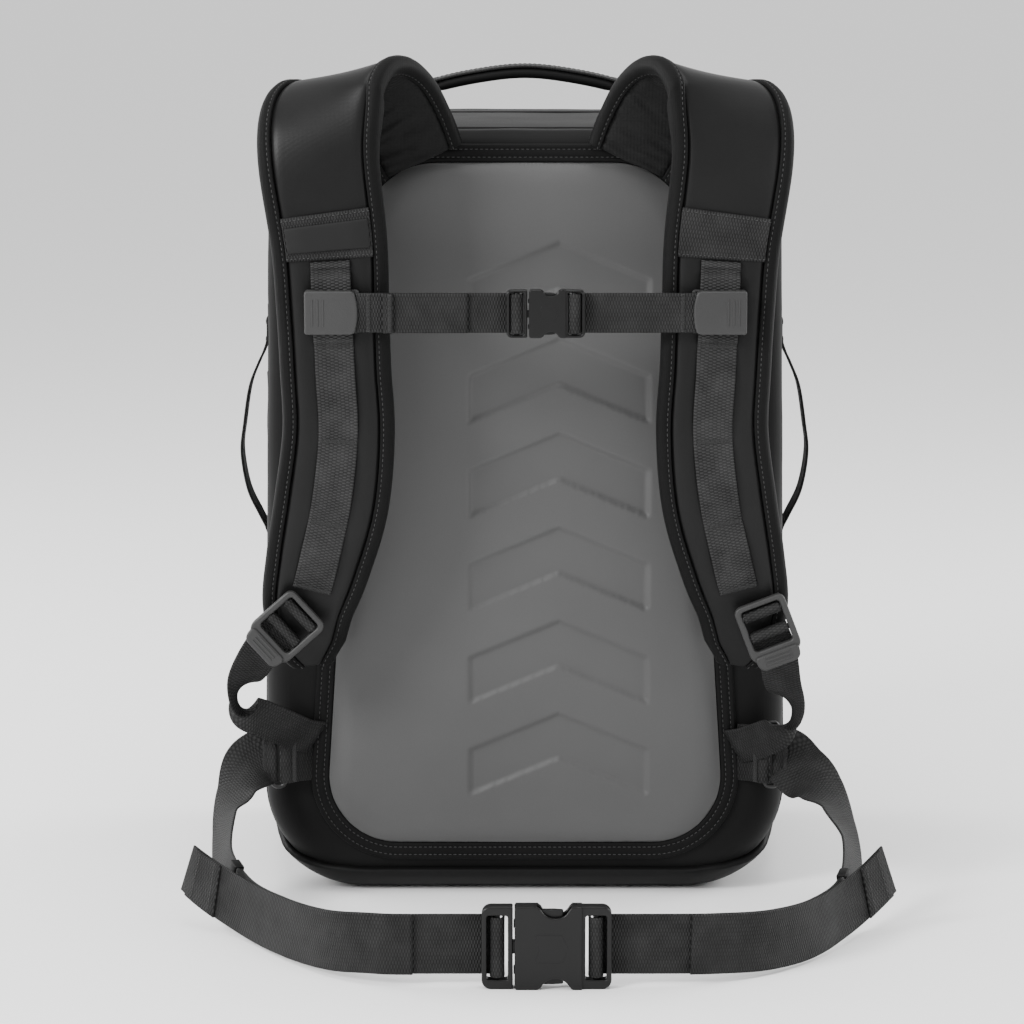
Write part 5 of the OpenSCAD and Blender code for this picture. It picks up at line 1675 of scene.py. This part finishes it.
def make_top_handle():
    z = body_h
    path = [[-handle_half, handle_y, z + 10, -1, 0, 0.05], [-76, handle_y, z + 19, -0.85, 0, 0.5],
            [-61, handle_y, z + 28, -0.4, 0, 0.9], [-30, handle_y, z + 35, -0.15, 0, 1],
            [0, handle_y, z + 38, 0, 0, 1],
            [30, handle_y, z + 35, 0.15, 0, 1], [61, handle_y, z + 28, 0.4, 0, 0.9],
            [76, handle_y, z + 19, 0.85, 0, 0.5],
            [handle_half, handle_y, z + 10, 1, 0, 0.05]]
    path = [p + [web_w, web_t] for p in path]
    foot = [[-handle_half - 11, handle_y, z + 2.7, 0, 0, 1], [-handle_half - 4, handle_y, z + 2.9, 0, 0, 1],
            [-handle_half - 0.5, handle_y, z + 5.0, -0.8, 0, 0.4]]
    foot = [p + [web_w, web_t] for p in foot]
    end = [[-p[0], p[1], p[2], -p[3], p[4], p[5], p[6], p[7]] for p in foot[::-1]]
    whole = foot + path + end
    item = webbing("top_handle_strap", stations(whole, 0, len(whole) - 1, 150), HARNESS)
    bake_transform(item)
    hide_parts("top_handle_webbing")

    rows, uvs = [], []
    sts = stations(path, 2, 6, 60)
    for i, (s, v) in enumerate(zip(sts, lengths(sts))):
        end_taper = min(1.0, 0.72 + 0.28 * min(i, 60 - i) / 4)
        section = []
        for a in full_turn(24):
            c, d = math.cos(a), math.sin(a)
            across = (web_w + 3) / 2 * math.copysign(abs(c) ** 0.55, c)
            off = grip_t / 2 * math.copysign(abs(d) ** 0.75, d) * end_taper
            section.append((across, off - (web_t + grip_t) / 2 - sewn))
        rows.append([s[0] + a * s[1] + b * s[2] for a, b in section])
        uvs.append([(a, v) for a, b in section])
    shape = Shape().grid(rows, around=True, uvs=uvs, ends=True)
    item = mesh_object("top_handle_padding", shape, BINDING)
    fit_piece(item, "top_handle", "strap_fabric", "top_handle_grip")
    seams = [row_on(sts[2:-2], side * (web_w / 2 - 2), 0.05) for side in (-1, 1)]
    running_stitch("top_handle_stitches", seams, "top_handle", "strap_fabric", step=3.2, length=2.3,
                   width=0.55)
    running = [row_across((station(path, u)), 1.5) for u in (2.05, 5.95)]
    bar_tacks("top_handle_tacks", running, "top_handle", "strap_fabric")

    tabs, tacks = Shape(), []
    for side in (-1, 1):
        x = side * handle_half
        sts = [(vec(x + d, handle_y, z + h), vec(0, 1, 0), vec(0, 0, 1), web_w + 6, 1.3)
               for d, h in ((-15, 0.5), (-13, 0.9), (0, 1.0), (13, 0.9), (15, 0.5))]
        sweep(sts, web_profile, tabs)
        for d in (5, 10):
            tack = (vec(x + side * d, handle_y, z + 3.0), vec(0, 1, 0), vec(0, 0, 1), web_w, web_t)
            tacks.append(row_across(tack, 2))
    fit_piece(mesh_object("top_handle_tabs", tabs, BINDING), "bag", "harness_webbing", "top_handle_anchors")
    bar_tacks("top_handle_tab_tacks", tacks, "bag")


def make_side_handles():
    x, swing = body_w / 2 + sewn, body_w / 2 + 8
    top, foot, stub = 350.0, 228.0, 9.0
    path = [[swing, 0, top - stub, 1, 0, 0.4], [x + 14, 0, 325, 1, 0, 0.3], [x + 18, 0, 300, 1, 0, 0.1],
            [x + 20, 0, 280, 1, 0, -0.05], [x + 16, 0, 255, 1, 0, -0.3], [swing, 0, foot + stub, 1, 0, -0.5]]
    ends = [[x + 1.4, 0, top + 22, 1, 0, 0.02], [x + 1.6, 0, top + 8, 1, 0, 0.1],
            [x + 4.2, 0, top - 1, 1, 0, 0.35]]
    feet = [[x + 4.0, 0, foot + 1, 1, 0, -0.4], [x + 1.6, 0, foot - 8, 1, 0, -0.1],
            [x + 1.4, 0, foot - 22, 1, 0, -0.02]]
    path = [p + [web_w, web_t] for p in ends + path + feet]
    tabs, tacks, lash, ties = Shape(), [], Shape(), []
    for side, label in ((-1, "left"), (1, "right")):
        sts = stations(path, 0, len(path) - 1, 110)
        ends_at = [station(path, u) for u in (0.25, 1.0, 9.9, 10.7)]
        patches = [[(vec(x + 0.45, 0, z0 + dz), vec(0, -1, 0), vec(1, 0, 0), web_w + 7, 0.9)
                    for dz in (-20, -18, 0, 18, 20)]
                   for z0 in (top + 12, foot - 12)]
        line, knots = lash_stations(x, 0, 176, 372, 4, 0.8, (1, 0, 0))
        if side < 0:
            sts, ends_at, line, knots = mirrored(sts), mirrored(ends_at), mirrored(line), mirrored(knots)
            patches = [mirrored(p) for p in patches]
        item = webbing("side_handle_strap_" + label, sts, HARNESS)
        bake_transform(item)
        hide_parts("side_handle_" + label)
        for p in patches:
            sweep(p, web_profile, tabs)
        tacks += [row_across(s, 1.5) for s in ends_at]
        sweep([s for s in line if foot + 4 < s[0][2] < top - 10], web_profile, lash)
        sweep([s for s in line if s[0][2] < foot - 31], web_profile, lash)
        ties += [row_across(s, 1.5) for s in knots[2:3]]
    fit_piece(mesh_object("side_handle_patches", tabs, BINDING), "bag", "harness_webbing",
              "side_handle_anchors")
    fit_piece(mesh_object("side_lash_webbing", lash, LASH), "bag", "lash_webbing", "side_lash")
    bar_tacks("side_handle_tacks", tacks + ties, "bag")


# ---------- inside ----------

def make_inside():
    for node, finish in (("frame_sheet", SHEET), ("inner_sleeve", LINING)):
        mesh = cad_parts[node].data
        mesh.materials.clear()
        mesh.materials.append(finish)


# ---------- studio ----------

def make_studio():
    floor_material = bpy.data.materials.new("studio_floor")
    floor_material.use_nodes = True
    shader = floor_material.node_tree.nodes["Principled BSDF"]
    shader.inputs["Base Color"].default_value = (0.95, 0.95, 0.95, 1)
    shader.inputs["Roughness"].default_value = 0.6
    across = [vec(x, 0, 0) for x in np.linspace(-20000, 20000, 9)]
    shape = Shape().grid([[p + vec(0, y, 0) for p in across] for y in np.linspace(-20000, 20000, 9)])
    floor = mesh_object("floor", shape, floor_material, fix_normals=False)

    world = bpy.data.worlds.new("studio")
    world.use_nodes = True
    world.node_tree.nodes["Background"].inputs["Color"].default_value = (1, 1, 1, 1)
    world.node_tree.nodes["Background"].inputs["Strength"].default_value = 1.1
    bpy.context.scene.world = world
    for name, place, target, size, power in (
            ("key", (-1.9, -1.7, 1.6), (0, 0, 0.25), 0.8, 85),
            ("fill", (2.0, -1.8, 0.9), (0, 0, 0.25), 1.4, 14),
            ("top", (0.0, -0.4, 2.4), (0, 0.0, 0.3), 1.4, 30),
            ("left_edge", (-1.7, 0.6, 0.9), (0, 0, 0.3), 0.9, 26),
            ("right_edge", (1.7, 0.6, 0.9), (0, 0, 0.3), 0.9, 26)):
        light = bpy.data.lights.new(name, "AREA")
        light.size = size
        light.energy = power
        item = bpy.data.objects.new(name, light)
        item.location = place
        item.rotation_euler = (Vector(target) - Vector(place)).to_track_quat("-Z", "Y").to_euler()
        bpy.context.scene.collection.objects.link(item)


# ---------- the bag ----------

make_camera()
make_shell()
make_boot()
make_back_panel()
make_binding()
make_lid()
make_harness()
make_sternum()
make_belt()
make_top_handle()
make_side_handles()
make_inside()
make_studio()
